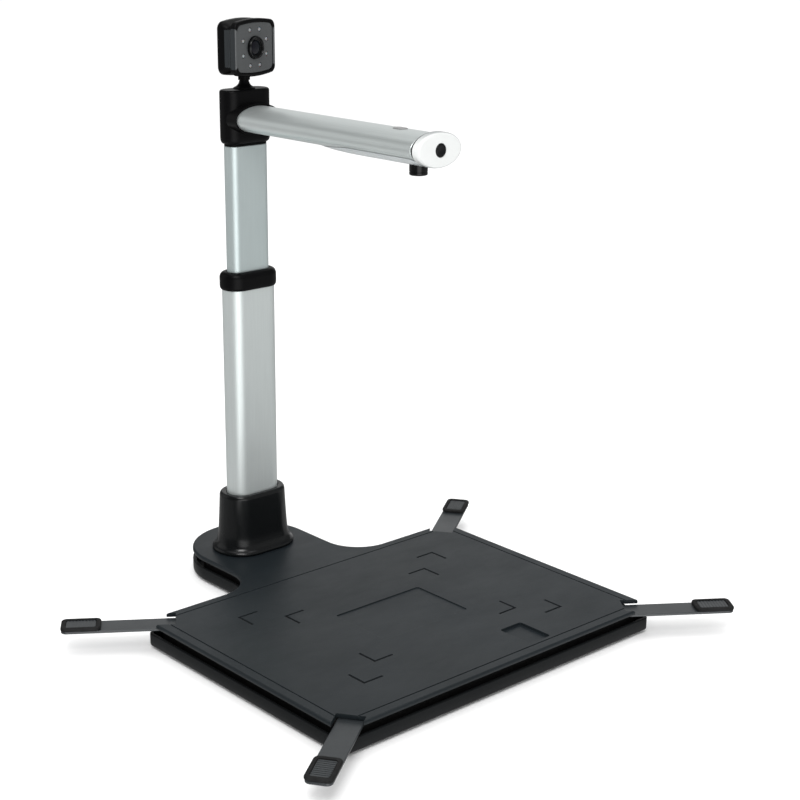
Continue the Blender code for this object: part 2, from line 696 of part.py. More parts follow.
def make_face_shell(face):
    """The rear half: its wall folds back inside, so that it is open to the front."""
    front = FACE_FRONT_Y
    inside = [
        (5.2, 5.4, front + 20.2),
        (4.4, 4.6, front + 18.6),
        (4.6, 5.0, front + 10.0),
        (4.4, 4.4, front + 6.0),
    ]
    outside = [
        (1.0, 1.0, front + 6.0),
        (2.2, 2.4, front + 7.6),
        (2.6, 3.2, front + 9.5),
        (1.8, 2.0, front + 12.5),
        (0.9, 0.6, front + 15.5),
        (0.6, 0.2, front + 18.5),
        (1.4, 1.2, front + 20.8),
        (3.4, 3.4, front + 22.0),
    ]
    back = face.add("face_back_shell", face_loft(inside + outside), "black_plastic")
    slot = LUG_HALF_X + 0.4
    face.cut(back, box((-slot, TONGUE_Y - 8.2, 430.0), (slot, TONGUE_Y + 7.0, 449.0)))
    bosses = bmesh.new()
    for low, high in ((-8.0, -4.6), (4.6, 8.0)):
        box((low, TONGUE_Y - 4.0, TILT_Z - 3.2), (high, TONGUE_Y + 4.0, TILT_Z + 4.0), bosses)
    face.join(back, bosses)
    face.cut(back, cylinder_x(TILT_PIN_R + GAP, -7.4, 7.4, TONGUE_Y, TILT_Z))
    pin = cylinder_x(TILT_PIN_R, -7.1, 7.1, TONGUE_Y, TILT_Z)
    face.add("tilt_pin", pin, "steel")


def make_face_front(face):
    """The bezel, the smoked panel with its ring of lights, the lens and the board behind them."""
    front = FACE_FRONT_Y
    bezel = [
        (0.0, 0.0, front + 1.2),
        (0.0, 0.0, front + 4.6),
        (0.9, 0.9, front + 5.7),
        (2.8, 2.8, front + 5.7),
        (2.8, 2.8, front),
        (1.4, 1.4, front),
    ]
    face.add("face_bezel", face_loft(bezel, closed=True), "black_plastic")
    panel = face_loft([(3.1, 3.1, y) for y in (front + 0.9, front + 2.7)])
    panel = face.add("face_panel", panel, "panel_grey")
    holes = bmesh.new()
    for x, z in led_places():
        turned_y(x, z, [(LED_R + GAP, front - 2.0), (LED_R + GAP, front + 6.0)], 12, holes)
    bore = FACE_LENS_R + 0.35
    turned_y(0.0, FACE_Z, [(bore, front - 2.0), (bore, front + 6.0)], 32, holes)
    face.cut(panel, holes)
    back, top = front + 4.0, front + 3.0
    ring = [(19.0, top), (19.0, back), (12.0, back), (12.0, top)]
    ring = loft([along_y(circle(r, 32), y, 0.0, FACE_Z) for r, y in ring], closed=True)
    ring = face.add("led_ring", ring, "led_lens")
    domes = bmesh.new()
    for x, z in led_places():
        turned_y(x, z, [(LED_R, top + 0.6), (LED_R, front + 1.0), (0.8, front + 0.5)], 12, domes)
    face.join(ring, domes)
    tip = front - 1.8
    barrel = [(FACE_LENS_R, front + 5.0), (FACE_LENS_R, tip + 0.8), (8.3, tip), (7.4, tip), (6.2, tip + 3.2)]
    face.add("face_lens_barrel", turned_y(0.0, FACE_Z, barrel, 32), "gloss_black")
    glass = [(5.8, tip + 2.9), (5.6, tip + 2.4), (4.0, tip + 1.5), (2.0, tip + 1.0)]
    face.add("face_lens_window", turned_y(0.0, FACE_Z, glass, 24), "lens_glass")
    board = prism_y(rounded_box(15.0, 13.0, 2.0), front + 5.3, front + 6.9, FACE_Z)
    face.add("face_board", board, "circuit_board")


def main():
    clear_scene()
    base = Body("base", (0.0, 0.0, 0.0))
    base.empty.location.y = -FOOTPRINT_CENTRE_Y * MM
    make_tray(base)
    make_feet(base)
    make_screws(base)
    make_carrier(base)
    make_base_insides(base)
    make_top_plate(base)
    make_corner_arms(base)
    make_column_base(base)
    column = Body("column", (0.0, TONGUE_Y, COLLAR_TOP), base)
    make_upper_column(column)
    head = Body("head", (0.0, TONGUE_Y, BLOCK_BOTTOM), column)
    make_head_block(head)
    make_arm(head)
    make_lens(head)
    make_buttons(head)
    pan = Body("face_pan", (0.0, TONGUE_Y, BLOCK_TOP), head, FACE_PAN)
    make_neck(pan)
    tilt = Body("face_tilt", (0.0, TONGUE_Y, TILT_Z), pan)
    make_face_shell(tilt)
    make_face_front(tilt)


main()
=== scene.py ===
"""Looks of the book scanner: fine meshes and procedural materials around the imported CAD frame.
Shapes are drawn in millimetres from the deck's centre, with z up from the table, then placed in the frame.
"""

import json
import math

import bmesh
import bpy
from mathutils import Matrix, Vector


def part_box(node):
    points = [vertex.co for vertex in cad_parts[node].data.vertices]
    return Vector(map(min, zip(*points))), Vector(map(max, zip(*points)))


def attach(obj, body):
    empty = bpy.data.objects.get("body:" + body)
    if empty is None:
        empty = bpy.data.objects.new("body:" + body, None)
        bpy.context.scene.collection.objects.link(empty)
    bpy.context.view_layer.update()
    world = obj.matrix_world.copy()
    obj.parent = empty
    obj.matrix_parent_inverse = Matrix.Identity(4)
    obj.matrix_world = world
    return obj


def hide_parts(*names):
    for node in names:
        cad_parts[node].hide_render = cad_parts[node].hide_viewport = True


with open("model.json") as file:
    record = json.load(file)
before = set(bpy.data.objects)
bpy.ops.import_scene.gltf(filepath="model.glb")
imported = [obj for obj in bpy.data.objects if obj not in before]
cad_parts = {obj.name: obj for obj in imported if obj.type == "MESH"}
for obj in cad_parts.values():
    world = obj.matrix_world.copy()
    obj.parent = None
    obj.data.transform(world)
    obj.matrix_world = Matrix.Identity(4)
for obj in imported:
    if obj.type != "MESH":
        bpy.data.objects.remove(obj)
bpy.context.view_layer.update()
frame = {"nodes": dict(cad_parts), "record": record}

MM = 0.001
BOARD_Y = 245.0  # deck depth without the tongue; the frame's box of the plate holds both


def node_box(name):
    """A CAD node's corners, in millimetres from the deck's centre."""
    low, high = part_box(name)
    return to_design(low), to_design(high)


def to_design(point):
    return Vector(point) / MM - Vector((0.0, DECK_Y, 0.0))


DECK_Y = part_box("top_plate")[0].y / MM + BOARD_Y / 2
PLATE_LOW, PLATE_HIGH = node_box("top_plate")
TRAY_LOW, TRAY_HIGH = node_box("lower_tray")
BOARD_X = PLATE_HIGH.x - PLATE_LOW.x
CORNER_R = 6.0
TONGUE_R = 54.0
TONGUE_Y = PLATE_HIGH.y - TONGUE_R  # the column's axis
TONGUE_FILLET_R = 34.0
PLATE_TOP = PLATE_HIGH.z
PLATE_BOTTOM = PLATE_LOW.z
ARM_ANGLE = math.radians(35.3)
CORNERS = {
    "front_left": (-1, -1),
    "front_right": (1, -1),
    "back_left": (-1, 1),
    "back_right": (1, 1),
}
CORE_X = 12.4  # half sizes of the flat core that every column section is rounded out from
CORE_Y = 0.65
GAP = 0.3
FEET = ("foot_front_left", "foot_front_right", "foot_back_left", "foot_back_right", "foot_tongue")
SCREWS = ("base_screw_1", "base_screw_2", "base_screw_3", "base_screw_4")


# ---- outlines ----
def arc(centre_x, centre_y, radius, start, end, steps):
    points = []
    for step in range(steps + 1):
        angle = math.radians(start + (end - start) * step / steps)
        points.append((centre_x + radius * math.cos(angle), centre_y + radius * math.sin(angle)))
    return points


def base_outline(inset):
    """The deck's rectangle with the column's tongue at the back, drawn smaller by the inset."""
    corner = max(CORNER_R - inset, 1.0)
    x = BOARD_X / 2 - inset - corner
    y = BOARD_Y / 2 - inset - corner
    side = TONGUE_R + TONGUE_FILLET_R
    top = BOARD_Y / 2 + TONGUE_FILLET_R
    fillet = TONGUE_FILLET_R + inset
    points = arc(-x, -y, corner, 180, 270, 10)
    points += arc(x, -y, corner, 270, 360, 10)
    points += arc(x, y, corner, 0, 90, 10)
    points += arc(side, top, fillet, 270, 180, 20)
    points += arc(0, TONGUE_Y, TONGUE_R - inset, 0, 180, 56)
    points += arc(-side, top, fillet, 360, 270, 20)
    points += arc(-x, y, corner, 90, 180, 10)
    return points


def rounded_box(half_x, half_y, radius, centre=(0.0, 0.0), steps=10):
    """A rectangle of the given half sides, rounded outwards by the radius."""
    x, y = centre
    points = arc(x + half_x, y + half_y, radius, 0, 90, steps)
    points += arc(x - half_x, y + half_y, radius, 90, 180, steps)
    points += arc(x - half_x, y - half_y, radius, 180, 270, steps)
    points += arc(x + half_x, y - half_y, radius, 270, 360, steps)
    return points


def column_outline(radius):
    return rounded_box(CORE_X, CORE_Y, radius, (0.0, TONGUE_Y), 12)


def ellipse(half_x, half_y, steps=96):
    return [
        (half_x * math.cos(math.tau * i / steps), half_y * math.sin(math.tau * i / steps))
        for i in range(steps)
    ]


def circle(radius, steps=64):
    return ellipse(radius, radius, steps)


def eased(points, steps=4):
    """More points on a smooth curve through the given ones, whatever their length."""
    made = []
    last = len(points) - 1
    for i in range(last):
        before, start, end, after = (
            points[max(i - 1, 0)], points[i], points[i + 1], points[min(i + 2, last)]
        )
        for step in range(steps):
            t = step / steps
            made.append(tuple(
                0.5 * (2 * b + (c - a) * t + (2 * a - 5 * b + 4 * c - d) * t * t
                       + (3 * b - a - 3 * c + d) * t ** 3)
                for a, b, c, d in zip(before, start, end, after)
            ))
    made.append(tuple(points[-1]))
    return made


# ---- solids, as bmeshes in millimetres ----
def loft(loops, closed=False, mesh=None):
    """Skins a chain of loops of equal length; the ends are capped, or joined when closed."""
    mesh = mesh or bmesh.new()
    rings = [[mesh.verts.new(point) for point in loop] for loop in loops]
    count = len(rings[0])
    pairs = list(zip(rings, rings[1:]))
    if closed:
        pairs.append((rings[-1], rings[0]))
    for lower, upper in pairs:
        for i in range(count):
            j = (i + 1) % count
            mesh.faces.new((lower[i], lower[j], upper[j], upper[i]))
    if not closed:
        mesh.faces.new(list(reversed(rings[0])))
        mesh.faces.new(rings[-1])
    return mesh


def level(outline, z):
    return [(x, y, z) for x, y in outline]


def along_y(outline, y, centre_x=0.0, centre_z=0.0):
    return [(centre_x + x, y, centre_z + z) for x, z in outline]


def prism(outline, low, high, mesh=None):
    return loft([level(outline, low), level(outline, high)], mesh=mesh)


def prism_y(outline, back, front, centre_z, centre_x=0.0, mesh=None):
    return loft([along_y(outline, y, centre_x, centre_z) for y in (back, front)], mesh=mesh)


def box(low, high, mesh=None):
    corners = [(low[0], low[1]), (high[0], low[1]), (high[0], high[1]), (low[0], high[1])]
    return prism(corners, low[2], high[2], mesh)


def disc(x, y, radius, low, high, mesh=None):
    return prism([(x + px, y + py) for px, py in circle(radius)], low, high, mesh)


def turned(x, y, profile, steps=64, mesh=None):
    """A solid of revolution about a vertical axis; the profile is (radius, z)."""
    return loft([[(x + px, y + py, z) for px, py in circle(r, steps)] for r, z in profile], mesh=mesh)


def turned_y(x, z, profile, steps=64, mesh=None):
    """The same about an axis along Y; the profile is (radius, y)."""
    return loft([along_y(circle(r, steps), y, x, z) for r, y in profile], mesh=mesh)


def turned_x(y, z, profile, steps=64):
    loops = []
    for radius, x in profile:
        loops.append([(x, y + py, z + pz) for py, pz in circle(radius, steps)])
    return loft(loops)


def column_loft(profile, closed=False):
    """Skins column outlines; the profile is (rounding radius, z)."""
    return loft([level(column_outline(r), z) for r, z in profile], closed)


def placed(mesh, matrix):
    bmesh.ops.transform(mesh, matrix=matrix, verts=mesh.verts)
    return mesh


# ---- pieces ----
def as_object(name, mesh):
    """An object in the frame's metres, made of a bmesh in millimetres."""
    bmesh.ops.recalc_face_normals(mesh, faces=mesh.faces)
    to_frame = Matrix.Scale(MM, 4) @ Matrix.Translation((0.0, DECK_Y, 0.0))
    bmesh.ops.transform(mesh, matrix=to_frame, verts=mesh.verts)
    data = bpy.data.meshes.new(name)
    mesh.to_mesh(data)
    mesh.free()
    made = bpy.data.objects.new(name, data)
    bpy.context.scene.collection.objects.link(made)
    return made


def apply_modifiers(piece):
    graph = bpy.context.evaluated_depsgraph_get()
    graph.update()
    final = bpy.data.meshes.new_from_object(piece.evaluated_get(graph))
    final.name = piece.name
    piece.modifiers.clear()
    piece.data = final


def carve(piece, mesh, operation="DIFFERENCE"):
    """Cuts or joins a shape in millimetres into a piece, for good."""
    helper = as_object("helper", mesh)
    change = piece.modifiers.new("Boolean", "BOOLEAN")
    change.operation = operation
    change.object = helper
    apply_modifiers(piece)
    bpy.data.objects.remove(helper, do_unlink=True)


def soften(piece, width, segments=3, angle=32.0):
    """Rounds the edges sharper than the angle, in millimetres."""
    bevel = piece.modifiers.new("Bevel", "BEVEL")
    bevel.width = width * MM
    bevel.segments = segments
    bevel.limit_method = "ANGLE"
    bevel.angle_limit = math.radians(angle)
    bevel.miter_outer = "MITER_ARC"
    bevel.use_clamp_overlap = True
    apply_modifiers(piece)


def finish_piece(piece, look, body, nodes, sharp=38.0, level_flats=False):
    """Shades a piece, gives it its material and ties it to its CAD body and nodes."""
    piece.data.shade_smooth()
    piece.data.set_sharp_from_angle(angle=math.radians(sharp))
    if level_flats:
        for face in piece.data.polygons:
            if abs(face.normal.z) > 0.9999:
                face.use_smooth = False
    else:
        weighted = piece.modifiers.new("Normals", "WEIGHTED_NORMAL")
        weighted.keep_sharp = True
        apply_modifiers(piece)
    piece.data.materials.clear()
    piece.data.materials.append(look)
    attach(piece, body)
    if nodes:
        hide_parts(*nodes)
    return piece


# ---- materials ----
def linear(grey_or_rgb):
    """An sRGB colour of 0 to 255, or one grey, as the shader's linear colour."""
    rgb = grey_or_rgb if isinstance(grey_or_rgb, tuple) else (grey_or_rgb,) * 3
    found = []
    for value in rgb:
        share = value / 255
        found.append(share / 12.92 if share <= 0.04045 else ((share + 0.055) / 1.055) ** 2.4)
    return (*found, 1.0)


class Look:
    """A material being wired: its Principled shader, and the noise that its details come from."""

    def __init__(self, name, roughness, metallic=0.0, specular=0.5, coat=0.0, coat_roughness=0.1):
        self.made = bpy.data.materials.new(name)
        self.made.use_nodes = True
        self.tree = self.made.node_tree
        self.shader = self.tree.nodes["Principled BSDF"]
        self.shader.inputs["Roughness"].default_value = roughness
        self.shader.inputs["Metallic"].default_value = metallic
        self.shader.inputs["Specular IOR Level"].default_value = specular
        self.shader.inputs["Coat Weight"].default_value = coat
        self.shader.inputs["Coat Roughness"].default_value = coat_roughness
        self.place = self.add("ShaderNodeTexCoord").outputs["Object"]
        self.normal = None

    def add(self, kind):
        return self.tree.nodes.new(kind)

    def link(self, output, target):
        self.tree.links.new(output, target)

    def noise(self, scale, detail=3.0, stretch=(1.0, 1.0, 1.0), roughness=0.55, offset=0.0):
        """Noise over the row frame's metres; stretch makes it longer along an axis."""
        mapping = self.add("ShaderNodeMapping")
        mapping.inputs["Scale"].default_value = tuple(1.0 / s for s in stretch)
        mapping.inputs["Location"].default_value = (offset, offset, offset)
        self.link(self.place, mapping.inputs["Vector"])
        texture = self.add("ShaderNodeTexNoise")
        texture.inputs["Scale"].default_value = scale
        texture.inputs["Detail"].default_value = detail
        texture.inputs["Roughness"].default_value = roughness
        self.link(mapping.outputs["Vector"], texture.inputs["Vector"])
        return texture.outputs["Fac"]

    def ranged(self, value, low, high, from_low=0.3, from_high=0.7):
        """The value's usual range mapped onto low to high."""
        scaled = self.add("ShaderNodeMapRange")
        scaled.inputs["From Min"].default_value = from_low
        scaled.inputs["From Max"].default_value = from_high
        scaled.inputs["To Min"].default_value = low
        scaled.inputs["To Max"].default_value = high
        self.link(value, scaled.inputs["Value"])
        return scaled.outputs["Result"]

    def maths(self, operation, first, second):
        node = self.add("ShaderNodeMath")
        node.operation = operation
        for socket, value in zip(node.inputs, (first, second)):
            if isinstance(value, (int, float)):
                socket.default_value = value
            else:
                self.link(value, socket)
        return node.outputs["Value"]

    def blend_colours(self, share, first, second):
        mix = self.add("ShaderNodeMix")
        mix.data_type = "RGBA"
        colours = [socket for socket in mix.inputs if socket.type == "RGBA"]
        for socket, value in zip(colours, (first, second)):
            if isinstance(value, tuple):
                socket.default_value = value
            else:
                self.link(value, socket)
        self.link(share, mix.inputs["Factor"])
        return next(socket for socket in mix.outputs if socket.type == "RGBA")

    def colour(self, output):
        self.link(output, self.shader.inputs["Base Color"])

    def roughness(self, output):
        self.link(output, self.shader.inputs["Roughness"])

    def bump(self, height, distance, strength=1.0):
        """Adds relief of that depth, in metres, on top of what is there."""
        node = self.add("ShaderNodeBump")
        node.inputs["Strength"].default_value = strength
        node.inputs["Distance"].default_value = distance
        self.link(height, node.inputs["Height"])
        if self.normal:
            self.link(self.normal, node.inputs["Normal"])
        self.normal = node.outputs["Normal"]
        self.link(self.normal, self.shader.inputs["Normal"])


def moulded(name, dark, light, roughness, grain=0.00004, grain_scale=2200.0, **gloss):
    """Moulded plastic: a fine texture, faint mottling and handling marks."""
    look = Look(name, roughness, **gloss)
    mottling = look.noise(9.0, 5.0)
    look.colour(look.blend_colours(look.ranged(mottling, 0.0, 1.0), dark, light))
    smudges = look.noise(24.0, 6.0, roughness=0.65, offset=3.0)
    look.roughness(look.ranged(smudges, roughness * 0.86, roughness * 1.16))
    look.bump(look.noise(grain_scale, 2.0), grain)
    return look.made


def make_deck_look():
    """Satin dark grey, with a fine spark-eroded texture and slight polish marks from paper."""
    look = Look("deck_satin", 0.4, specular=0.26)
    dark, light = linear((21, 27, 30)), linear((27, 33, 37))
    mottling = look.noise(7.0, 5.0)
    tone = look.blend_colours(look.ranged(mottling, 0.0, 1.0), dark, light)
    dust = look.ranged(look.noise(420.0, 2.0, roughness=0.7), 0.0, 0.22, 0.62, 0.8)
    look.colour(look.blend_colours(dust, tone, linear((50, 54, 56))))
    marks = look.noise(30.0, 6.0, stretch=(2.2, 1.0, 1.0), roughness=0.7, offset=5.0)
    look.roughness(look.ranged(marks, 0.36, 0.47))
    look.bump(look.noise(900.0, 3.0), 0.00003)
    look.bump(look.noise(2600.0, 1.0), 0.00003)
    return look.made


def make_extrusion_look(name, along, light, dark, roughness, metallic):
    """Satin anodised aluminium: fine die lines along the extrusion over a bead-blasted grain."""
    look = Look(name, roughness, metallic=metallic)
    stretch = tuple(60.0 if axis == along else 1.0 for axis in range(3))
    lines = look.noise(1400.0, 4.0, stretch=stretch)
    broad = look.noise(8.0, 4.0)
    tone = look.blend_colours(look.ranged(broad, 0.0, 1.0), dark, light)
    streaked = look.blend_colours(look.ranged(lines, 0.0, 0.1), tone, linear((150, 156, 156)))
    look.colour(streaked)
    look.roughness(look.ranged(lines, roughness * 0.94, roughness * 1.08))
    look.bump(lines, 0.0000025)
    look.bump(look.noise(3200.0, 2.0), 0.000012)
    return look.made


def make_paint_look(name, dark, light, roughness, metallic, flake):
    """Satin metallic paint: tiny flakes and a slight orange peel."""
    look = Look(name, roughness, metallic=metallic, coat=0.25, coat_roughness=0.25)
    cells = look.add("ShaderNodeTexVoronoi")
    cells.inputs["Scale"].default_value = 2800.0
    look.link(look.place, cells.inputs["Vector"])
    spark = look.ranged(cells.outputs["Distance"], 0.0, 1.0, 0.0, 0.8)
    tone = look.blend_colours(look.ranged(look.noise(12.0), 0.0, 1.0), dark, light)
    look.colour(look.blend_colours(look.maths("MULTIPLY", spark, 0.35), tone, flake))
    look.roughness(look.ranged(look.noise(35.0, 5.0), roughness * 0.88, roughness * 1.15))
    look.bump(look.noise(500.0, 3.0), 0.00002)
    return look.made


def make_rubber_look():
    look = Look("soft_rubber", 0.72, specular=0.3)
    dusty = look.ranged(look.noise(180.0, 4.0, roughness=0.7), 0.0, 0.5, 0.45, 0.8)
    look.colour(look.blend_colours(dusty, linear(14), linear((38, 39, 40))))
    look.roughness(look.ranged(look.noise(40.0, 4.0), 0.62, 0.85))
    look.bump(look.noise(1500.0, 3.0), 0.00006)
    return look.made


def make_steel_look():
    """Zinc-plated steel with brushed lines and a little dulling."""
    look = Look("plated_steel", 0.34, metallic=1.0)
    lines = look.noise(900.0, 4.0, stretch=(30.0, 1.0, 1.0))
    look.colour(look.blend_colours(look.ranged(lines, 0.0, 1.0), linear(150), linear((186, 188, 190))))
    look.roughness(look.ranged(look.noise(90.0, 4.0), 0.26, 0.44))
    look.bump(lines, 0.00001)
    return look.made


def make_glass_look():
    """Coated lens glass: near black, with the coating's reflection painted on as a violet to green tint
    where it turns away from the view.
    """
    look = Look("coated_glass", 0.05, specular=0.22, coat=0.1, coat_roughness=0.02)
    rim = look.add("ShaderNodeLayerWeight")
    rim.inputs["Blend"].default_value = 0.45
    # Painted reflection: the coating's tint shifts from violet to green with the view angle.
    inner = look.blend_colours(rim.outputs["Facing"], linear((7, 5, 16)), linear((5, 16, 16)))
    spots = look.ranged(look.noise(700.0, 3.0), 0.0, 0.12, 0.6, 0.9)
    look.colour(look.blend_colours(spots, inner, linear(34)))
    look.roughness(look.ranged(look.noise(260.0, 3.0), 0.02, 0.07))
    return look.made


def make_light_dome_look():
    """Clear moulded light-emitting diodes: milky."""
    look = Look("light_domes", 0.24, specular=0.4, coat=0.1, coat_roughness=0.1)
    look.shader.inputs["Subsurface Weight"].default_value = 0.3
    look.shader.inputs["Subsurface Scale"].default_value = 0.001
    milky = look.blend_colours(look.ranged(look.noise(800.0), 0.0, 1.0), linear((104, 106, 108)),
                               linear((150, 152, 154)))
    look.colour(milky)
    look.bump(look.noise(1800.0), 0.00001)
    return look.made


def make_cap_look():
    """Glossy white plastic, with painted shade: greyer where it turns away from the view."""
    look = Look("cap_gloss", 0.24, specular=0.4, coat=0.2)
    rim = look.add("ShaderNodeLayerWeight")
    rim.inputs["Blend"].default_value = 0.3
    white = look.blend_colours(look.ranged(look.noise(9.0, 5.0), 0.0, 1.0), linear((214, 216, 215)),
                               linear((220, 222, 221)))
    # Painted shade: the colour turns grey where the surface turns away from the view.
    painted_rim_shade = look.ranged(rim.outputs["Facing"], 0.0, 1.0, 0.24, 0.6)
    look.colour(look.blend_colours(painted_rim_shade, white, linear((140, 145, 145))))
    look.roughness(look.ranged(look.noise(24.0, 6.0), 0.2, 0.28))
    look.bump(look.noise(700.0, 2.0), 0.000006)
    return look.made


def make_board_look():
    """Green solder mask with copper tracks showing through."""
    look = Look("solder_mask", 0.35, specular=0.5, coat=0.4)
    grid = look.add("ShaderNodeTexBrick")
    grid.inputs["Scale"].default_value = 260.0
    grid.inputs["Mortar Size"].default_value = 0.03
    grid.inputs["Color1"].default_value = linear((12, 72, 34))
    grid.inputs["Color2"].default_value = linear((16, 84, 40))
    grid.inputs["Mortar"].default_value = linear((58, 120, 54))
    look.link(look.place, grid.inputs["Vector"])
    look.colour(grid.outputs["Color"])
    look.bump(look.noise(900.0), 0.00003)
    return look.made


def make_looks():
    return {
        "deck_plastic": make_deck_look(),
        "tray_plastic": moulded(
            "tray_satin", linear((16, 18, 19)), linear((22, 24, 25)), 0.36, specular=0.14,
        ),
        "black_plastic": moulded(
            "black_satin", linear((6, 6, 7)), linear((11, 11, 12)), 0.36,
            grain=0.00002, specular=0.08,
        ),
        "gloss_black": moulded(
            "black_gloss", linear((7, 8, 9)), linear((11, 12, 13)), 0.17,
            grain=0.000004, grain_scale=900.0, specular=0.24,
        ),
        "foot_black": moulded(
            "foot_gloss", linear((7, 9, 10)), linear((12, 14, 15)), 0.22,
            grain=0.00001, grain_scale=500.0, specular=0.33,
        ),
        "mark_black": moulded("mark_black", linear((7, 8, 9)), linear((12, 13, 14)), 0.6, specular=0.1),
        "carrier_plastic": moulded("carrier_plain", linear(15), linear(21), 0.55, specular=0.3),
        "arm_metal": make_paint_look(
            "arm_paint", linear((28, 32, 34)), linear((35, 39, 42)), 0.4, 0.1, linear((58, 63, 66))
        ),
        "aluminium": make_extrusion_look(
            "column_alloy", 2, linear((205, 211, 210)), linear((198, 205, 204)), 0.38, 0.55
        ),
        "slide_alloy": make_extrusion_look(
            "slide_alloy", 2, linear((186, 196, 196)), linear((179, 190, 190)), 0.38, 0.55
        ),
        "arm_alloy": make_extrusion_look(
            "arm_alloy", 1, linear((208, 214, 213)), linear((202, 209, 208)), 0.34, 0.72
        ),
        "pod_silver": make_paint_look(
            "pod_paint", linear((186, 192, 193)), linear((196, 202, 203)), 0.36, 0.4,
            linear((222, 226, 227)),
        ),
        "cap_white": make_cap_look(),
        "button_grey": moulded("button_grey", linear(128), linear(140), 0.4),
        "panel_grey": moulded(
            "smoked_panel", linear((64, 66, 67)), linear((76, 78, 79)), 0.24,
            grain=0.000004, grain_scale=500.0, specular=0.3, coat=0.15, coat_roughness=0.1,
        ),
        # A darker copy of the smoked panel grey: painted shade for the housing's sides.
        "side_grey": moulded(
            "smoked_side_painted_shade", linear((38, 41, 43)), linear((46, 49, 51)), 0.3,
            grain=0.000004, grain_scale=500.0, specular=0.2,
        ),
        "rubber": make_rubber_look(),
        "steel": make_steel_look(),
        "lens_glass": make_glass_look(),
        "led_lens": make_light_dome_look(),
        "circuit_board": make_board_look(),
    }


LOOKS = make_looks()


def arm_frame(sign_x, sign_y):
    """Places a shape drawn along +X from a deck corner onto that corner's diagonal."""
    angle = math.atan2(sign_y * math.sin(ARM_ANGLE), sign_x * math.cos(ARM_ANGLE))
    corner = Vector((sign_x * BOARD_X / 2, sign_y * BOARD_Y / 2, 0.0))
    return Matrix.Translation(corner) @ Matrix.Rotation(angle, 4, "Z")


# ---- base ----
def corner_mark(x, y, leg, width):
    """The L of a paper corner: one closed outline with its legs pointing to the deck's centre."""
    sx, sy = math.copysign(1, x), math.copysign(1, y)
    points = [(0, 0), (-leg, 0), (-leg, -width), (-width, -width), (-width, -leg), (0, -leg)]
    return [(x + sx * px, y + sy * py) for px, py in points]


def make_top_plate():
    edge = 1.7
    mark_depth = 0.6
    above = PLATE_TOP + 4.0
    sections = [(0.5, PLATE_BOTTOM), (0.15, PLATE_BOTTOM + 0.15), (0.0, PLATE_BOTTOM + 0.5)]
    for angle in range(0, 91, 15):
        turn = math.radians(angle)
        sections.append((edge * (1 - math.cos(turn)), PLATE_TOP - edge * (1 - math.sin(turn))))
    plate = as_object("deck", loft([level(base_outline(d), z) for d, z in sections]))
    half_x, half_y = BOARD_X / 2 - 8.4, BOARD_Y / 2 - 8.4
    groove = []
    for inset, z in ((0.0, PLATE_TOP - 0.7), (1.1, PLATE_TOP - 0.7), (1.1, above), (0.0, above)):
        radius = 2.5 - inset
        outline = rounded_box(half_x - 2.5, half_y - 2.5, radius, steps=6)
        groove.append(level(outline, z))
    carve(plate, loft(groove, closed=True))
    marks = bmesh.new()
    for sx, sy in CORNERS.values():
        for x, y in ((107.0, 78.0), (77.0, 55.5)):
            prism(corner_mark(sx * x, sy * y, 19.0, 1.9), PLATE_TOP - mark_depth, above, marks)
    prism(rounded_box(43.0, 28.0, 2.0, (0.0, -1.0), 6), PLATE_TOP - 0.8, above, marks)
    prism(rounded_box(9.5, 14.5, 2.0, (47.5, -93.5), 6), PLATE_TOP - 2.2, above, marks)
    disc(0.0, TONGUE_Y, 9.0, PLATE_BOTTOM - 1.0, above, marks)
    carve(plate, marks)
    notch_half = 11.0
    for signs in CORNERS.values():
        notch = box((-23.2, -notch_half, PLATE_BOTTOM - 1.0), (30.0, notch_half, above))
        carve(plate, placed(notch, arm_frame(*signs)))
    soften(plate, 0.35, 3)
    finish_piece(plate, LOOKS["deck_plastic"], "base", ["top_plate"], level_flats=True)
    plate.data.materials.append(LOOKS["mark_black"])
    for face in plate.data.polygons:
        if abs(to_design(face.center).z - (PLATE_TOP - mark_depth)) < 0.05 and face.normal.z > 0.99:
            face.material_index = 1


def make_tray():
    low, high = TRAY_LOW.z, TRAY_HIGH.z
    sections = []
    for angle in range(0, 91, 15):
        turn = math.radians(angle)
        sections.append((2.4 * (1 - math.sin(turn)), low + 2.4 * (1 - math.cos(turn))))
    sections += [(0.0, high - 0.7), (0.2, high - 0.2), (0.7, high), (2.5, high), (2.8, high - 0.3)]
    sections.append((2.8, low + 2.2))
    tray = as_object("tray", loft([level(base_outline(d), z) for d, z in sections]))
    holes = bmesh.new()
    for name in FEET:
        foot_low, foot_high = node_box(name)
        centre = (foot_low + foot_high) / 2
        disc(centre.x, centre.y, (foot_high.x - foot_low.x) / 2 + GAP, 0.5, low + 1.3, holes)
    for name in SCREWS:
        screw_low, screw_high = node_box(name)
        centre = (screw_low + screw_high) / 2
        step = [(3.6, 0.5), (3.6, low + 1.2), (2.0, low + 1.2), (2.0, 6.0)]
        turned(centre.x, centre.y, step, 40, holes)
    carve(tray, holes)
    inlet_low, inlet_high = node_box("cable_inlet")
    mouth = box(
        (inlet_low.x - GAP, 240.0, inlet_low.z - GAP), (inlet_high.x + GAP, 260.0, inlet_high.z + GAP)
    )
    carve(tray, mouth)
    soften(tray, 0.3, 2, 40.0)
    finish_piece(tray, LOOKS["tray_plastic"], "base", ["lower_tray"], level_flats=True)


def make_feet():
    """Rubber discs with a soft rim and three shallow grip rings underneath."""
    for name in FEET:
        low, high = node_box(name)
        centre = (low + high) / 2
        radius = (high.x - low.x) / 2
        rings = [(0.6, 0.0)]
        for ring in (2.0, 4.0, 6.0):
            rings += [(ring - 0.5, 0.0), (ring - 0.25, 0.35), (ring + 0.25, 0.35), (ring + 0.5, 0.0)]
        rim = [(radius - 0.9, 0.0), (radius - 0.35, 0.2), (radius - 0.05, 0.7), (radius, 1.1)]
        foot = turned(centre.x, centre.y, rings + rim + [(radius, high.z)], 48)
        foot = as_object("rubber_" + name, foot)
        finish_piece(foot, LOOKS["rubber"], "base", [name], 50.0)


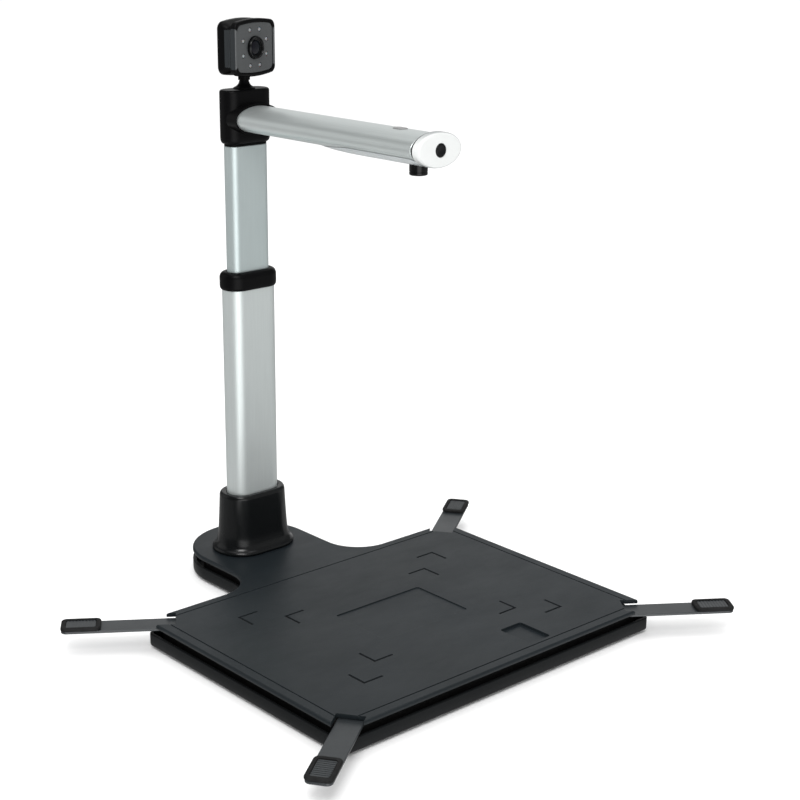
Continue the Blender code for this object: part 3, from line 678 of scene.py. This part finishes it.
def rounded_tip(start, end, half, radius, steps=10):
    """A bar's outline from start to end along +X, with rounded corners at its far end."""
    points = [(start, -half)]
    points += arc(end - radius, -half + radius, radius, 270, 360, steps)
    points += arc(end - radius, half - radius, radius, 0, 90, steps)
    points.append((start, half))
    return points


def make_corner_arms():
    top = PLATE_BOTTOM - GAP
    thick = 2.2
    out, inside = 68.3, 60.0
    for corner, signs in CORNERS.items():
        frame_here = arm_frame(*signs)
        body = "arm_" + corner
        bar = prism(rounded_tip(-inside, out - 0.3, 10.0, 4.5), top - thick, top)
        bar = as_object("bar_" + corner, placed(bar, frame_here))
        carve(bar, placed(disc(-54.0, 0.0, 2.3, top - 4.0, top + 1.0), frame_here))
        soften(bar, 0.45, 3, 50.0)
        nodes = ["corner_arm_" + corner]
        finish_piece(bar, LOOKS["arm_metal"], body, nodes, level_flats=True)
        make_pad(corner, body, frame_here, top + GAP, out)


def make_pad(corner, body, frame_here, low, out):
    """A soft dark frame round a shallow tray, which holds a lighter insert with fine ribs."""
    length, width, thick = 32.0, 21.0, 2.5
    start = out - length
    middle = start + length / 2
    shape = []
    for inset, z in ((0.3, 0.0), (0.0, 0.3), (0.0, 1.5), (0.12, 1.95), (0.45, 2.3), (0.95, thick)):
        shape.append(level(
            rounded_box(length / 2 - 4.5, width / 2 - 4.5, 4.5 - inset, (middle, 0.0)), low + z
        ))
    pad = as_object("pad_" + corner, placed(loft(shape), frame_here))
    hollow = rounded_box(length / 2 - 6.0, width / 2 - 5.5, 2.2, (middle, 0.0), 6)
    carve(pad, placed(prism(hollow, low + 1.3, low + 10), frame_here))
    soften(pad, 0.3, 3, 50.0)
    finish_piece(pad, LOOKS["rubber"], body, ["arm_pad_" + corner], level_flats=True)
    insert = bmesh.new()
    ribs = 9
    half = width / 2 - 3.7
    reach = length / 2 - 4.2
    for i in range(ribs):
        x = middle + reach * (2 * (i + 0.5) / ribs - 1)
        bar_half = reach / ribs * 0.62
        prism(rounded_box(bar_half - 0.5, half - 0.5, 0.5, (x, 0.0), 4), low + 1.35, low + 1.85, insert)
    prism(rounded_box(reach - 1.4, half - 1.4, 1.4, (middle, 0.0), 6), low + 1.3, low + 1.6, insert)
    insert = as_object("pad_insert_" + corner, placed(insert, frame_here))
    finish_piece(insert, LOOKS["arm_metal"], body, [], level_flats=True)


# ---- column ----
def column_radius(node):
    """How far a node's section is rounded outwards from the column's core."""
    return node_box(node)[1].x - CORE_X


def make_column_socket():
    low, high = node_box("column_socket")
    base, top = low.z, high.z
    outer = column_radius("column_socket")
    bore = column_radius("lower_tube") + GAP
    foot = [(outer - 1.4, base), (outer - 0.5, base + 0.2), (outer, base + 0.9), (outer, base + 1.8)]
    foot += [(outer - 0.3, base + 2.7), (outer - 1.1, base + 3.4)]
    flare = eased([
        (outer - 1.1, base + 3.4), (outer - 2.4, base + 4.5), (outer - 3.7, base + 6.5),
        (outer - 4.7, base + 10.3), (outer - 5.7, base + 17.0), (outer - 6.7, base + 33.0),
    ], 5)
    sleeve = []
    for angle in range(0, 91, 15):
        turn = math.radians(angle)
        sleeve.append((outer - 9.7 + 2.2 * math.cos(turn), top - 3.8 * (1 - math.sin(turn))))
    inside = [(bore + 1.2, top), (bore + 0.5, top - 0.3), (bore, top - 1.0), (bore, 28.0)]
    socket = as_object("column_foot", column_loft(foot + flare[1:] + sleeve + inside))
    carve(socket, disc(0.0, TONGUE_Y, 6.0, 20.0, 32.0))
    finish_piece(socket, LOOKS["foot_black"], "base", ["column_socket"], 50.0)


def tube_profile(node, wall):
    """A straight column tube with slightly rounded ends."""
    low, high = (corner.z for corner in node_box(node))
    outer = column_radius(node)
    inner = outer - wall
    soft = 0.35
    return [
        (outer - soft, low), (outer, low + soft), (outer, high - soft), (outer - soft, high),
        (inner + soft, high), (inner, high - soft), (inner, low + soft), (inner + soft, low),
    ]


def make_tubes():
    lower = as_object("column_lower", column_loft(tube_profile("lower_tube", 1.8), closed=True))
    finish_piece(lower, LOOKS["aluminium"], "base", ["lower_tube"], 40.0)
    upper = as_object("column_upper", column_loft(tube_profile("upper_tube", 1.5), closed=True))
    finish_piece(upper, LOOKS["slide_alloy"], "column", ["upper_tube"], 40.0)


def make_collar():
    low, high = (corner.z for corner in node_box("collar"))
    outer = column_radius("collar")
    neck = column_radius("upper_tube") + GAP
    bore = column_radius("lower_tube") + GAP
    step = low + 9.4
    outside = eased([
        (outer - 1.5, low), (outer - 0.7, low + 0.5), (outer - 0.15, low + 1.8), (outer, low + 3.6),
    ], 3)
    outside += eased([
        (outer, high - 5.0), (outer - 0.4, high - 3.2), (outer - 1.4, high - 1.5),
        (outer - 3.0, high - 0.4), (outer - 4.8, high),
    ], 3)
    inside = [(neck + 0.5, high), (neck, high - 0.5), (neck, step), (bore, step)]
    inside += [(bore, low + 0.4), (bore + 0.4, low)]
    ring = as_object("column_collar", column_loft(outside + inside, closed=True))
    finish_piece(ring, LOOKS["black_plastic"], "base", ["collar"], 50.0)


# ---- head ----
ARM_LOW, ARM_HIGH = node_box("camera_arm")
ARM_Z = (ARM_LOW.z + ARM_HIGH.z) / 2
ARM_HALF_X = ARM_HIGH.x
ARM_HALF_Z = (ARM_HIGH.z - ARM_LOW.z) / 2
LENS_LOW, LENS_HIGH = node_box("lens_barrel")
LENS_Y = (LENS_LOW.y + LENS_HIGH.y) / 2
LENS_R = LENS_HIGH.x
KEY_LOW, KEY_HIGH = node_box("top_button")
KEY_Y = (KEY_LOW.y + KEY_HIGH.y) / 2
CAP_LOW, CAP_HIGH = node_box("end_cap")
CAP_Z = (CAP_LOW.z + CAP_HIGH.z) / 2
CAP_HALF_Z = (CAP_HIGH.z - CAP_LOW.z) / 2
POD_DROP = ARM_Z - node_box("camera_pod")[0].z
SLEEVE_FRONT_Y = node_box("head_block")[0].y


def make_head_block():
    low, high = (corner.z for corner in node_box("head_block"))
    outer = 10.4
    corner = eased([
        (outer - 3.6, low), (outer - 1.9, low + 0.5), (outer - 0.8, low + 1.6), (outer - 0.2, low + 3.3),
        (outer, low + 5.4),
    ], 4)
    top = [(outer, high - 2.2)]
    for angle in range(15, 91, 15):
        turn = math.radians(angle)
        top.append((outer - 2.2 * (1 - math.cos(turn)), high - 2.2 * (1 - math.sin(turn))))
    block = as_object("head", column_loft(corner + top))
    sleeve = ellipse(ARM_HALF_X + 1.6, ARM_HALF_Z + 1.7)
    carve(block, prism_y(sleeve, 192.0, SLEEVE_FRONT_Y, ARM_Z), "UNION")
    cavity = ellipse(ARM_HALF_X + GAP, ARM_HALF_Z + GAP)
    carve(block, prism_y(cavity, ARM_HIGH.y + GAP, 150.0, ARM_Z))
    carve(block, disc(0.0, TONGUE_Y, 6.3, 370.0, 397.5))
    carve(block, disc(0.0, TONGUE_Y, 4.3, 416.7, 440.0))
    soften(block, 0.7, 3, 40.0)
    finish_piece(block, LOOKS["black_plastic"], "head", ["head_block"], 45.0)


def oval_tube(name, outside, inside, back, front, centre_z):
    """A length of tube along Y between two sections, each a pair of half sizes, with softened rims."""
    soft = 0.3
    chain = [
        (outside, -soft, back), (outside, 0.0, back - soft), (outside, 0.0, front + soft),
        (outside, -soft, front), (inside, soft, front), (inside, 0.0, front + soft),
        (inside, 0.0, back - soft), (inside, soft, back),
    ]
    loops = []
    for (half_x, half_z), grow, y in chain:
        loops.append(along_y(ellipse(half_x + grow, half_z + grow), y, 0.0, centre_z))
    return as_object(name, loft(loops, closed=True))


def make_arm():
    section = (ARM_HALF_X, ARM_HALF_Z)
    bore = (ARM_HALF_X - 1.8, ARM_HALF_Z - 1.8)
    arm = oval_tube("arm", section, bore, ARM_HIGH.y, ARM_LOW.y, ARM_Z)
    carve(arm, disc(0.0, LENS_Y, LENS_R + GAP, 380.0, 397.5))
    carve(arm, prism(rounded_box(0.3, 2.8, 3.8, (0.0, KEY_Y)), 410.0, 425.0))
    finish_piece(arm, LOOKS["arm_alloy"], "head", ["camera_arm"], 40.0)
    low, high = node_box("seam_ring")
    section = (high.x, (high.z - low.z) / 2)
    bore = (ARM_HALF_X * 0.8, CAP_HALF_Z * 0.8)
    seam = oval_tube("seam", section, bore, high.y, low.y, CAP_Z)
    finish_piece(seam, LOOKS["black_plastic"], "head", ["seam_ring"], 40.0)


def make_pod():
    """The camera's housing under the arm: a thin shell that grows out of the tube."""
    steps = eased([
        (0.45, 95.0), (0.66, 86.0), (0.81, 76.0), (0.91, 66.0), (0.97, 56.0), (1.0, 46.0), (1.0, 8.0),
        (1.0, -24.0), (0.985, -27.0), (0.96, -28.8), (0.93, -29.7),
    ], 3)
    shell = [along_y(ellipse(20.5 * s, POD_DROP - 3.2 * (1.0 - s)), y, 0.0, ARM_Z) for s, y in steps]
    pod = as_object("pod", loft(shell))
    inside = ellipse(ARM_HALF_X + GAP, ARM_HALF_Z + GAP)
    carve(pod, prism_y(inside, 110.0, -60.0, ARM_Z))
    carve(pod, box((-40.0, -60.0, ARM_Z - 3.0), (40.0, 110.0, 450.0)))
    carve(pod, disc(0.0, LENS_Y, LENS_R + GAP, 370.0, 400.0))
    finish_piece(pod, LOOKS["pod_silver"], "head", ["camera_pod"], 40.0)


def make_end_cap():
    front, back = CAP_LOW.y, CAP_HIGH.y
    rim = [(0.985, back), (1.0, back - 0.4), (1.0, front + 3.4)]
    for angle in range(15, 91, 15):
        turn = math.radians(angle)
        rim.append((1.0 - 0.085 * (1 - math.cos(turn)), front + 3.4 - 3.0 * math.sin(turn)))
    rim += [(0.8, front + 0.2), (0.5, front + 0.05), (0.2, front)]
    loops = [along_y(ellipse(CAP_HIGH.x * s, CAP_HALF_Z * s), y, 0.0, CAP_Z) for s, y in rim]
    cap = as_object("cap", loft(loops))
    carve(cap, turned_y(0.0, CAP_Z, [(5.3, -34.6), (5.3, -50.0)]))
    soften(cap, 0.25, 3, 50.0)
    finish_piece(cap, LOOKS["cap_white"], "head", ["end_cap"], 40.0)


def make_buttons():
    low, high = node_box("end_button")
    radius = high.x
    front = low.y
    face = eased([
        (radius, front + 1.1), (radius - 0.15, front + 0.5), (radius - 0.6, front + 0.1),
        (radius - 1.1, front),
    ], 3)
    dish = [(3.2, front + 0.12), (2.2, front + 0.35), (1.1, front + 0.45), (0.3, front + 0.48)]
    button = turned_y(0.0, CAP_Z, [(radius, high.y)] + face + dish)
    button = as_object("round_button", button)
    finish_piece(button, LOOKS["gloss_black"], "end_button", ["end_button"], 50.0)
    top = KEY_HIGH.z
    profile = [(3.5, KEY_LOW.z), (3.5, top - 0.6), (3.4, top - 0.3), (3.1, top - 0.08)]
    profile += [(2.6, top), (1.6, top), (1.0, top - 0.12), (0.4, top - 0.18)]
    key = loft([level(rounded_box(0.3, 2.8, r, (0.0, KEY_Y)), z) for r, z in profile])
    key = as_object("oval_button", key)
    finish_piece(key, LOOKS["button_grey"], "top_button", ["top_button"], 50.0)


def make_down_lens():
    tip = LENS_LOW.z
    top = LENS_HIGH.z
    ring = LENS_R - 0.25
    profile = [(LENS_R, top), (LENS_R, tip + 3.0), (ring, tip + 2.8), (ring, tip + 2.4)]
    profile += [(LENS_R, tip + 2.2), (LENS_R, tip + 1.1), (LENS_R - 0.15, tip + 0.5)]
    profile += [(LENS_R - 0.6, tip + 0.1), (LENS_R - 1.0, tip)]
    profile += [(5.4, tip), (5.2, tip + 0.3), (5.2, tip + 2.2)]
    barrel = as_object("down_barrel", turned(0.0, LENS_Y, profile))
    finish_piece(barrel, LOOKS["gloss_black"], "head", ["lens_barrel"], 40.0)
    low, high = node_box("lens_window")
    dome = [(4.9, high.z), (4.9, low.z + 0.9)]
    for angle in range(10, 90, 12):
        turn = math.radians(angle)
        dome.append((4.9 * math.cos(turn), low.z + 0.9 - 0.9 * math.sin(turn)))
    window = as_object("down_window", turned(0.0, LENS_Y, dome))
    finish_piece(window, LOOKS["lens_glass"], "head", ["lens_window"], 50.0)


# ---- face camera, drawn facing -Y and turned about the column's axis like its CAD nodes ----
FACE_PAN = math.radians(12.0)
FACE_Z = 461.5
FACE_HALF_X = 25.0
FACE_HALF_Z = 23.3
FACE_CORNER_R = 4.5
FACE_CROWN = 2.5
FACE_FRONT_Y = TONGUE_Y - 13.5
FACE_LENS_R = 9.0
TILT_Z = 445.0
FACE_TURN = (
    Matrix.Translation((0.0, TONGUE_Y, 0.0))
    @ Matrix.Rotation(FACE_PAN, 4, "Z")
    @ Matrix.Translation((0.0, -TONGUE_Y, 0.0))
)


def face_outline(shrink_x, shrink_z):
    """The face camera's section: a soft-cornered square with a crowned top and bottom."""
    half_x = FACE_HALF_X - FACE_CORNER_R - shrink_x
    half_z = FACE_HALF_Z - FACE_CORNER_R - shrink_z
    upper = arc(half_x, half_z, FACE_CORNER_R, 0, 90, 10)
    upper += [(half_x * share / 10, half_z + FACE_CORNER_R) for share in range(9, -10, -1)]
    upper += arc(-half_x, half_z, FACE_CORNER_R, 90, 180, 10)
    upper = [(x, z - FACE_CROWN * (x / FACE_HALF_X) ** 2) for x, z in upper]
    return upper + [(-x, -z) for x, z in upper]


def face_loft(chain, closed=False):
    """Skins the face camera's outlines, each given as (shrink along X, along Z, Y)."""
    loops = [along_y(face_outline(sx, sz), y, 0.0, FACE_Z) for sx, sz, y in chain]
    return placed(loft(loops, closed), FACE_TURN)


def face_turned(profile, x=0.0, z=FACE_Z, steps=64, mesh=None):
    return turned_y(x, z, profile, steps, mesh)


def led_places():
    count = 8
    for i in range(count):
        angle = math.tau * (i + 0.5) / count
        yield 15.5 * math.cos(angle), FACE_Z + 15.5 * math.sin(angle)


def make_neck():
    base = node_box("head_block")[1].z + GAP
    flare = eased([
        (9.3, base), (9.1, base + 0.4), (8.0, base + 1.0), (6.2, base + 2.1), (4.9, base + 3.6),
        (4.2, base + 5.4), (3.85, base + 7.2), (3.8, 436.0),
    ], 4)
    neck = as_object("neck", turned(0.0, TONGUE_Y, [(4.0, 417.2), (4.0, base)] + flare))
    lug = [(TONGUE_Y - 3.4, 434.6), (TONGUE_Y + 3.4, 434.6)] + arc(TONGUE_Y, TILT_Z, 3.4, 0, 180, 28)
    lug = loft([[(x, y, z) for y, z in lug] for x in (-3.6, 3.6)])
    carve(neck, placed(lug, FACE_TURN), "UNION")
    carve(neck, placed(turned_x(TONGUE_Y, TILT_Z, [(1.8, -20.0), (1.8, 20.0)], 32), FACE_TURN))
    soften(neck, 0.4, 3, 50.0)
    finish_piece(neck, LOOKS["black_plastic"], "face_pan", ["face_neck"], 40.0)


def paint_face_sides(piece, back_y):
    """Smoked grey on the housing's front and sides up to a depth, with painted shade on the sides, and
    black rims at its top and bottom.
    """
    piece.data.materials.append(LOOKS["side_grey"])
    piece.data.materials.append(LOOKS["panel_grey"])
    unturn = FACE_TURN.inverted()
    for face in piece.data.polygons:
        centre = unturn @ to_design(face.center)
        outward = unturn.to_3x3() @ face.normal
        rim = FACE_HALF_Z - 6.3 - FACE_CROWN * (centre.x / FACE_HALF_X) ** 2
        if abs(centre.z - FACE_Z) < rim and centre.y < back_y:
            # Painted shade: faces turned to the front get the panel grey, the others its darker copy.
            face.material_index = 2 if outward.y < -0.5 else 1


def make_face_shell():
    front = FACE_FRONT_Y
    inside = [(5.2, 5.4, front + 20.2), (4.4, 4.6, front + 18.6), (4.6, 5.0, front + 10.0)]
    inside += [(4.4, 4.4, front + 6.2), (3.8, 3.8, front + 6.0)]
    rim = [(1.6, 1.6, front + 6.0), (1.1, 1.1, front + 6.2)]
    outside = eased([
        (1.0, 1.0, front + 6.5), (1.7, 1.8, front + 7.3), (2.4, 2.8, front + 8.4),
        (2.6, 3.2, front + 9.6), (2.3, 2.8, front + 11.0), (1.8, 2.0, front + 12.5),
        (0.9, 0.6, front + 15.5), (0.6, 0.2, front + 18.2), (0.8, 0.5, front + 19.8),
        (1.5, 1.3, front + 21.0), (2.5, 2.4, front + 21.7), (3.8, 3.8, front + 22.0),
    ], 3)
    shell = as_object("face_rear", face_loft(inside + rim + outside))
    slot = box((-4.0, TONGUE_Y - 8.2, 430.0), (4.0, TONGUE_Y + 7.0, 449.0))
    carve(shell, placed(slot, FACE_TURN))
    bosses = bmesh.new()
    for low, high in ((-8.0, -4.6), (4.6, 8.0)):
        box((low, TONGUE_Y - 4.0, TILT_Z - 3.2), (high, TONGUE_Y + 4.0, TILT_Z + 4.0), bosses)
    carve(shell, placed(bosses, FACE_TURN), "UNION")
    carve(shell, placed(turned_x(TONGUE_Y, TILT_Z, [(1.8, -7.4), (1.8, 7.4)], 32), FACE_TURN))
    finish_piece(shell, LOOKS["black_plastic"], "face_tilt", ["face_back_shell"], 42.0)
    paint_face_sides(shell, front + 13.6)


def make_bezel():
    """The frame round the panel: smoked sides in painted shade, with black rims along its top and bottom.
    """
    front = FACE_FRONT_Y
    chain = [(0.0, 0.0, front + 1.6), (0.0, 0.0, front + 4.6), (0.2, 0.2, front + 5.3)]
    chain += [(0.9, 0.9, front + 5.7), (2.8, 2.8, front + 5.7), (2.8, 2.8, front + 0.3)]
    chain += [(2.5, 2.5, front), (1.5, 1.5, front)]
    chain += [(0.8, 0.8, front + 0.25), (0.25, 0.25, front + 0.8)]
    bezel = as_object("face_frame", face_loft(chain, closed=True))
    finish_piece(bezel, LOOKS["black_plastic"], "face_tilt", ["face_bezel"], 40.0)
    paint_face_sides(bezel, front + 6.0)


def make_panel():
    front = FACE_FRONT_Y
    chain = [(3.1, 3.1, front + 2.7), (3.1, 3.1, front + 1.2), (3.3, 3.3, front + 0.95)]
    chain.append((3.6, 3.6, front + 0.9))
    panel = as_object("face_panel_front", face_loft(chain))
    holes = bmesh.new()
    for x, z in led_places():
        face_turned([(1.9, front - 2.0), (1.9, front + 6.0)], x, z, 32, holes)
    bore = FACE_LENS_R + 0.35
    face_turned([(bore, front - 2.0), (bore, front + 6.0)], mesh=holes)
    carve(panel, placed(holes, FACE_TURN))
    soften(panel, 0.2, 2, 50.0)
    finish_piece(panel, LOOKS["panel_grey"], "face_tilt", ["face_panel"], 40.0)


def make_light_ring():
    front = FACE_FRONT_Y
    ring = [(19.0, front + 3.0), (19.0, front + 4.0), (12.0, front + 4.0), (12.0, front + 3.0)]
    ring = loft([along_y(circle(r, 96), y, 0.0, FACE_Z) for r, y in ring], closed=True)
    ring = as_object("lights", placed(ring, FACE_TURN))
    domes = bmesh.new()
    for x, z in led_places():
        dome = [(1.5, front + 3.6), (1.5, front + 1.3)]
        for angle in range(15, 90, 15):
            turn = math.radians(angle)
            dome.append((1.5 * math.cos(turn), front + 1.3 - 0.8 * math.sin(turn)))
        face_turned(dome, x, z, 24, domes)
    carve(ring, placed(domes, FACE_TURN), "UNION")
    finish_piece(ring, LOOKS["led_lens"], "face_tilt", ["led_ring"], 40.0)


def make_face_lens():
    tip = FACE_FRONT_Y - 1.8
    back = FACE_FRONT_Y + 5.0
    outer = FACE_LENS_R
    profile = [(outer, back), (outer, tip + 1.0), (outer - 0.15, tip + 0.4), (outer - 0.6, tip)]
    profile += [(7.9, tip), (7.6, tip + 0.25)]
    profile += [(7.4, tip + 0.9), (6.9, tip + 1.2), (6.7, tip + 2.0), (6.2, tip + 2.3), (6.2, tip + 3.3)]
    barrel = as_object("face_barrel", placed(face_turned(profile), FACE_TURN))
    finish_piece(barrel, LOOKS["gloss_black"], "face_tilt", ["face_lens_barrel"], 35.0)
    dome = [(5.9, tip + 2.95), (5.9, tip + 2.6)]
    for angle in range(10, 90, 10):
        turn = math.radians(angle)
        dome.append((5.9 * math.cos(turn), tip + 2.6 - 1.7 * math.sin(turn)))
    window = as_object("face_window", placed(face_turned(dome), FACE_TURN))
    finish_piece(window, LOOKS["lens_glass"], "face_tilt", ["face_lens_window"], 50.0)


def carry_over():
    """CAD nodes whose shape is already right keep it and get the finished materials."""
    slots = {row["node"]: row["material_slot"] for row in frame["record"]["subparts"]}
    for name, node in frame["nodes"].items():
        look = LOOKS[slots[name]]
        node.data.materials.clear()
        node.data.materials.append(look)


# ---- stage ----
def make_floor():
    mesh = bmesh.new()
    bmesh.ops.create_circle(mesh, cap_ends=True, segments=96, radius=60.0)
    data = bpy.data.meshes.new("floor")
    mesh.to_mesh(data)
    mesh.free()
    floor = bpy.data.objects.new("floor", data)
    bpy.context.scene.collection.objects.link(floor)
    look = Look("floor_paper", 0.9, specular=0.0)
    look.colour(look.blend_colours(look.noise(1.5), linear(252), linear(254)))
    data.materials.append(look.made)
    floor.visible_glossy = False


def make_camera():
    """Left of and in front of the scanner, looking down; shifted sideways as far as the framing needs."""
    data = bpy.data.cameras.new("camera")
    data.lens = 76.57
    data.sensor_width = 36.0
    data.shift_x = 0.0494
    data.clip_end = 200.0
    camera = bpy.data.objects.new("camera", data)
    bpy.context.scene.collection.objects.link(camera)
    heading, dip = math.radians(40.71), math.radians(17.02)
    aim = Vector((
        math.sin(heading) * math.cos(dip), math.cos(heading) * math.cos(dip), -math.sin(dip)
    ))
    camera.location = Vector((-854.0, -941.9 + DECK_Y, 593.0)) * MM
    camera.rotation_mode = "QUATERNION"
    camera.rotation_quaternion = aim.to_track_quat("-Z", "Y")
    bpy.context.scene.camera = camera


def make_light(name, place, aim, size, power, colour=(1.0, 1.0, 1.0)):
    data = bpy.data.lights.new(name, "AREA")
    data.shape = "RECTANGLE"
    data.size, data.size_y = size
    data.energy = power
    data.color = colour
    light = bpy.data.objects.new(name, data)
    bpy.context.scene.collection.objects.link(light)
    light.location = place
    light.rotation_mode = "QUATERNION"
    light.rotation_quaternion = (Vector(aim) - Vector(place)).to_track_quat("-Z", "Y")
    return light


class Studio:
    """The world: plain white as background and soft fill, and a studio's walls in reflections."""

    def __init__(self):
        world = bpy.data.worlds.new("studio")
        bpy.context.scene.world = world
        world.use_nodes = True
        self.tree = world.node_tree
        self.background = self.tree.nodes["Background"]
        self.direction = self.tree.nodes.new("ShaderNodeTexCoord").outputs["Generated"]

    def maths(self, operation, *values, clamp=False):
        node = self.tree.nodes.new("ShaderNodeMath")
        node.operation = operation
        node.use_clamp = clamp
        for socket, value in zip(node.inputs, values):
            if isinstance(value, (int, float)):
                socket.default_value = value
            else:
                self.tree.links.new(value, socket)
        return node.outputs["Value"]

    def smooth(self, value, low, high, from_low, from_high):
        node = self.tree.nodes.new("ShaderNodeMapRange")
        node.interpolation_type = "SMOOTHSTEP"
        node.inputs["From Min"].default_value = from_low
        node.inputs["From Max"].default_value = from_high
        node.inputs["To Min"].default_value = low
        node.inputs["To Max"].default_value = high
        self.tree.links.new(value, node.inputs["Value"])
        return node.outputs["Result"]

    def facing(self, heading, height):
        """How far a direction points to a heading and height, both in degrees: 1 is straight at it."""
        turn, rise = math.radians(heading), math.radians(height)
        aim = (math.sin(turn) * math.cos(rise), math.cos(turn) * math.cos(rise), math.sin(rise))
        node = self.tree.nodes.new("ShaderNodeVectorMath")
        node.operation = "DOT_PRODUCT"
        node.inputs[1].default_value = aim
        self.tree.links.new(self.direction, node.inputs[0])
        return node.outputs["Value"]

    def spot(self, heading, height, strength, inner, outer):
        """A soft round patch, full inside one angle and gone at the other."""
        edge, core = math.cos(math.radians(outer)), math.cos(math.radians(inner))
        return self.smooth(self.facing(heading, height), 0.0, strength, edge, core)

    def finish(self, reflected, fill):
        path = self.tree.nodes.new("ShaderNodeLightPath")
        glossy = path.outputs["Is Glossy Ray"]
        plain = self.maths("MULTIPLY", self.maths("SUBTRACT", 1.0, glossy), fill)
        total = self.maths("ADD", plain, self.maths("MULTIPLY", glossy, reflected))
        self.tree.links.new(total, self.background.inputs["Strength"])
        self.background.inputs["Color"].default_value = (1.0, 1.0, 1.0, 1.0)


def make_studio():
    """Headings are compass-like: 0 looks along +Y, behind the column, and 220.9 is the camera's side."""
    studio = Studio()
    height = studio.tree.nodes.new("ShaderNodeSeparateXYZ")
    studio.tree.links.new(studio.direction, height.inputs["Vector"])
    z = height.outputs["Z"]
    ceiling = studio.smooth(z, 0.0, 0.6, 0.78, 0.95)
    floor_glow = studio.smooth(z, 0.3, 0.0, -0.6, -0.32)
    ground = studio.smooth(z, 0.26, 0.0, -0.25, -0.02)
    front = studio.smooth(studio.facing(160.0, 0.0), 0.0, 0.3, 0.2, 0.9)
    patches = [
        studio.spot(211.0, -16.0, 2.5, 10.0, 34.0),
        studio.spot(222.0, 48.0, 2.5, 6.0, 22.0),
        studio.spot(46.0, 13.0, 0.6, 12.0, 34.0),
        studio.spot(320.0, 18.0, 0.42, 12.0, 32.0),
    ]
    total = studio.maths("ADD", ceiling, ground)
    total = studio.maths("ADD", total, floor_glow)
    total = studio.maths("ADD", total, front)
    for patch in patches:
        total = studio.maths("ADD", total, patch)
    total = studio.maths("ADD", total, 0.1)
    studio.finish(total, 1.04)
    key = make_light("key", (-1.4, -1.3, 2.3), (0.0, 0.0, 0.1), (1.1, 1.1), 20.0)
    fill = make_light("top", (0.5, 0.6, 2.6), (0.0, 0.0, 0.0), (2.2, 2.2), 12.0)
    key.data.spread = math.radians(150)
    fill.data.spread = math.radians(160)


carry_over()
make_top_plate()
make_tray()
make_feet()
make_corner_arms()
make_column_socket()
make_tubes()
make_collar()
make_head_block()
make_arm()
make_pod()
make_end_cap()
make_buttons()
make_down_lens()
make_neck()
make_face_shell()
make_bezel()
make_panel()
make_light_ring()
make_face_lens()
make_floor()
make_camera()
make_studio()
bpy.context.scene.view_settings.view_transform = "Standard"
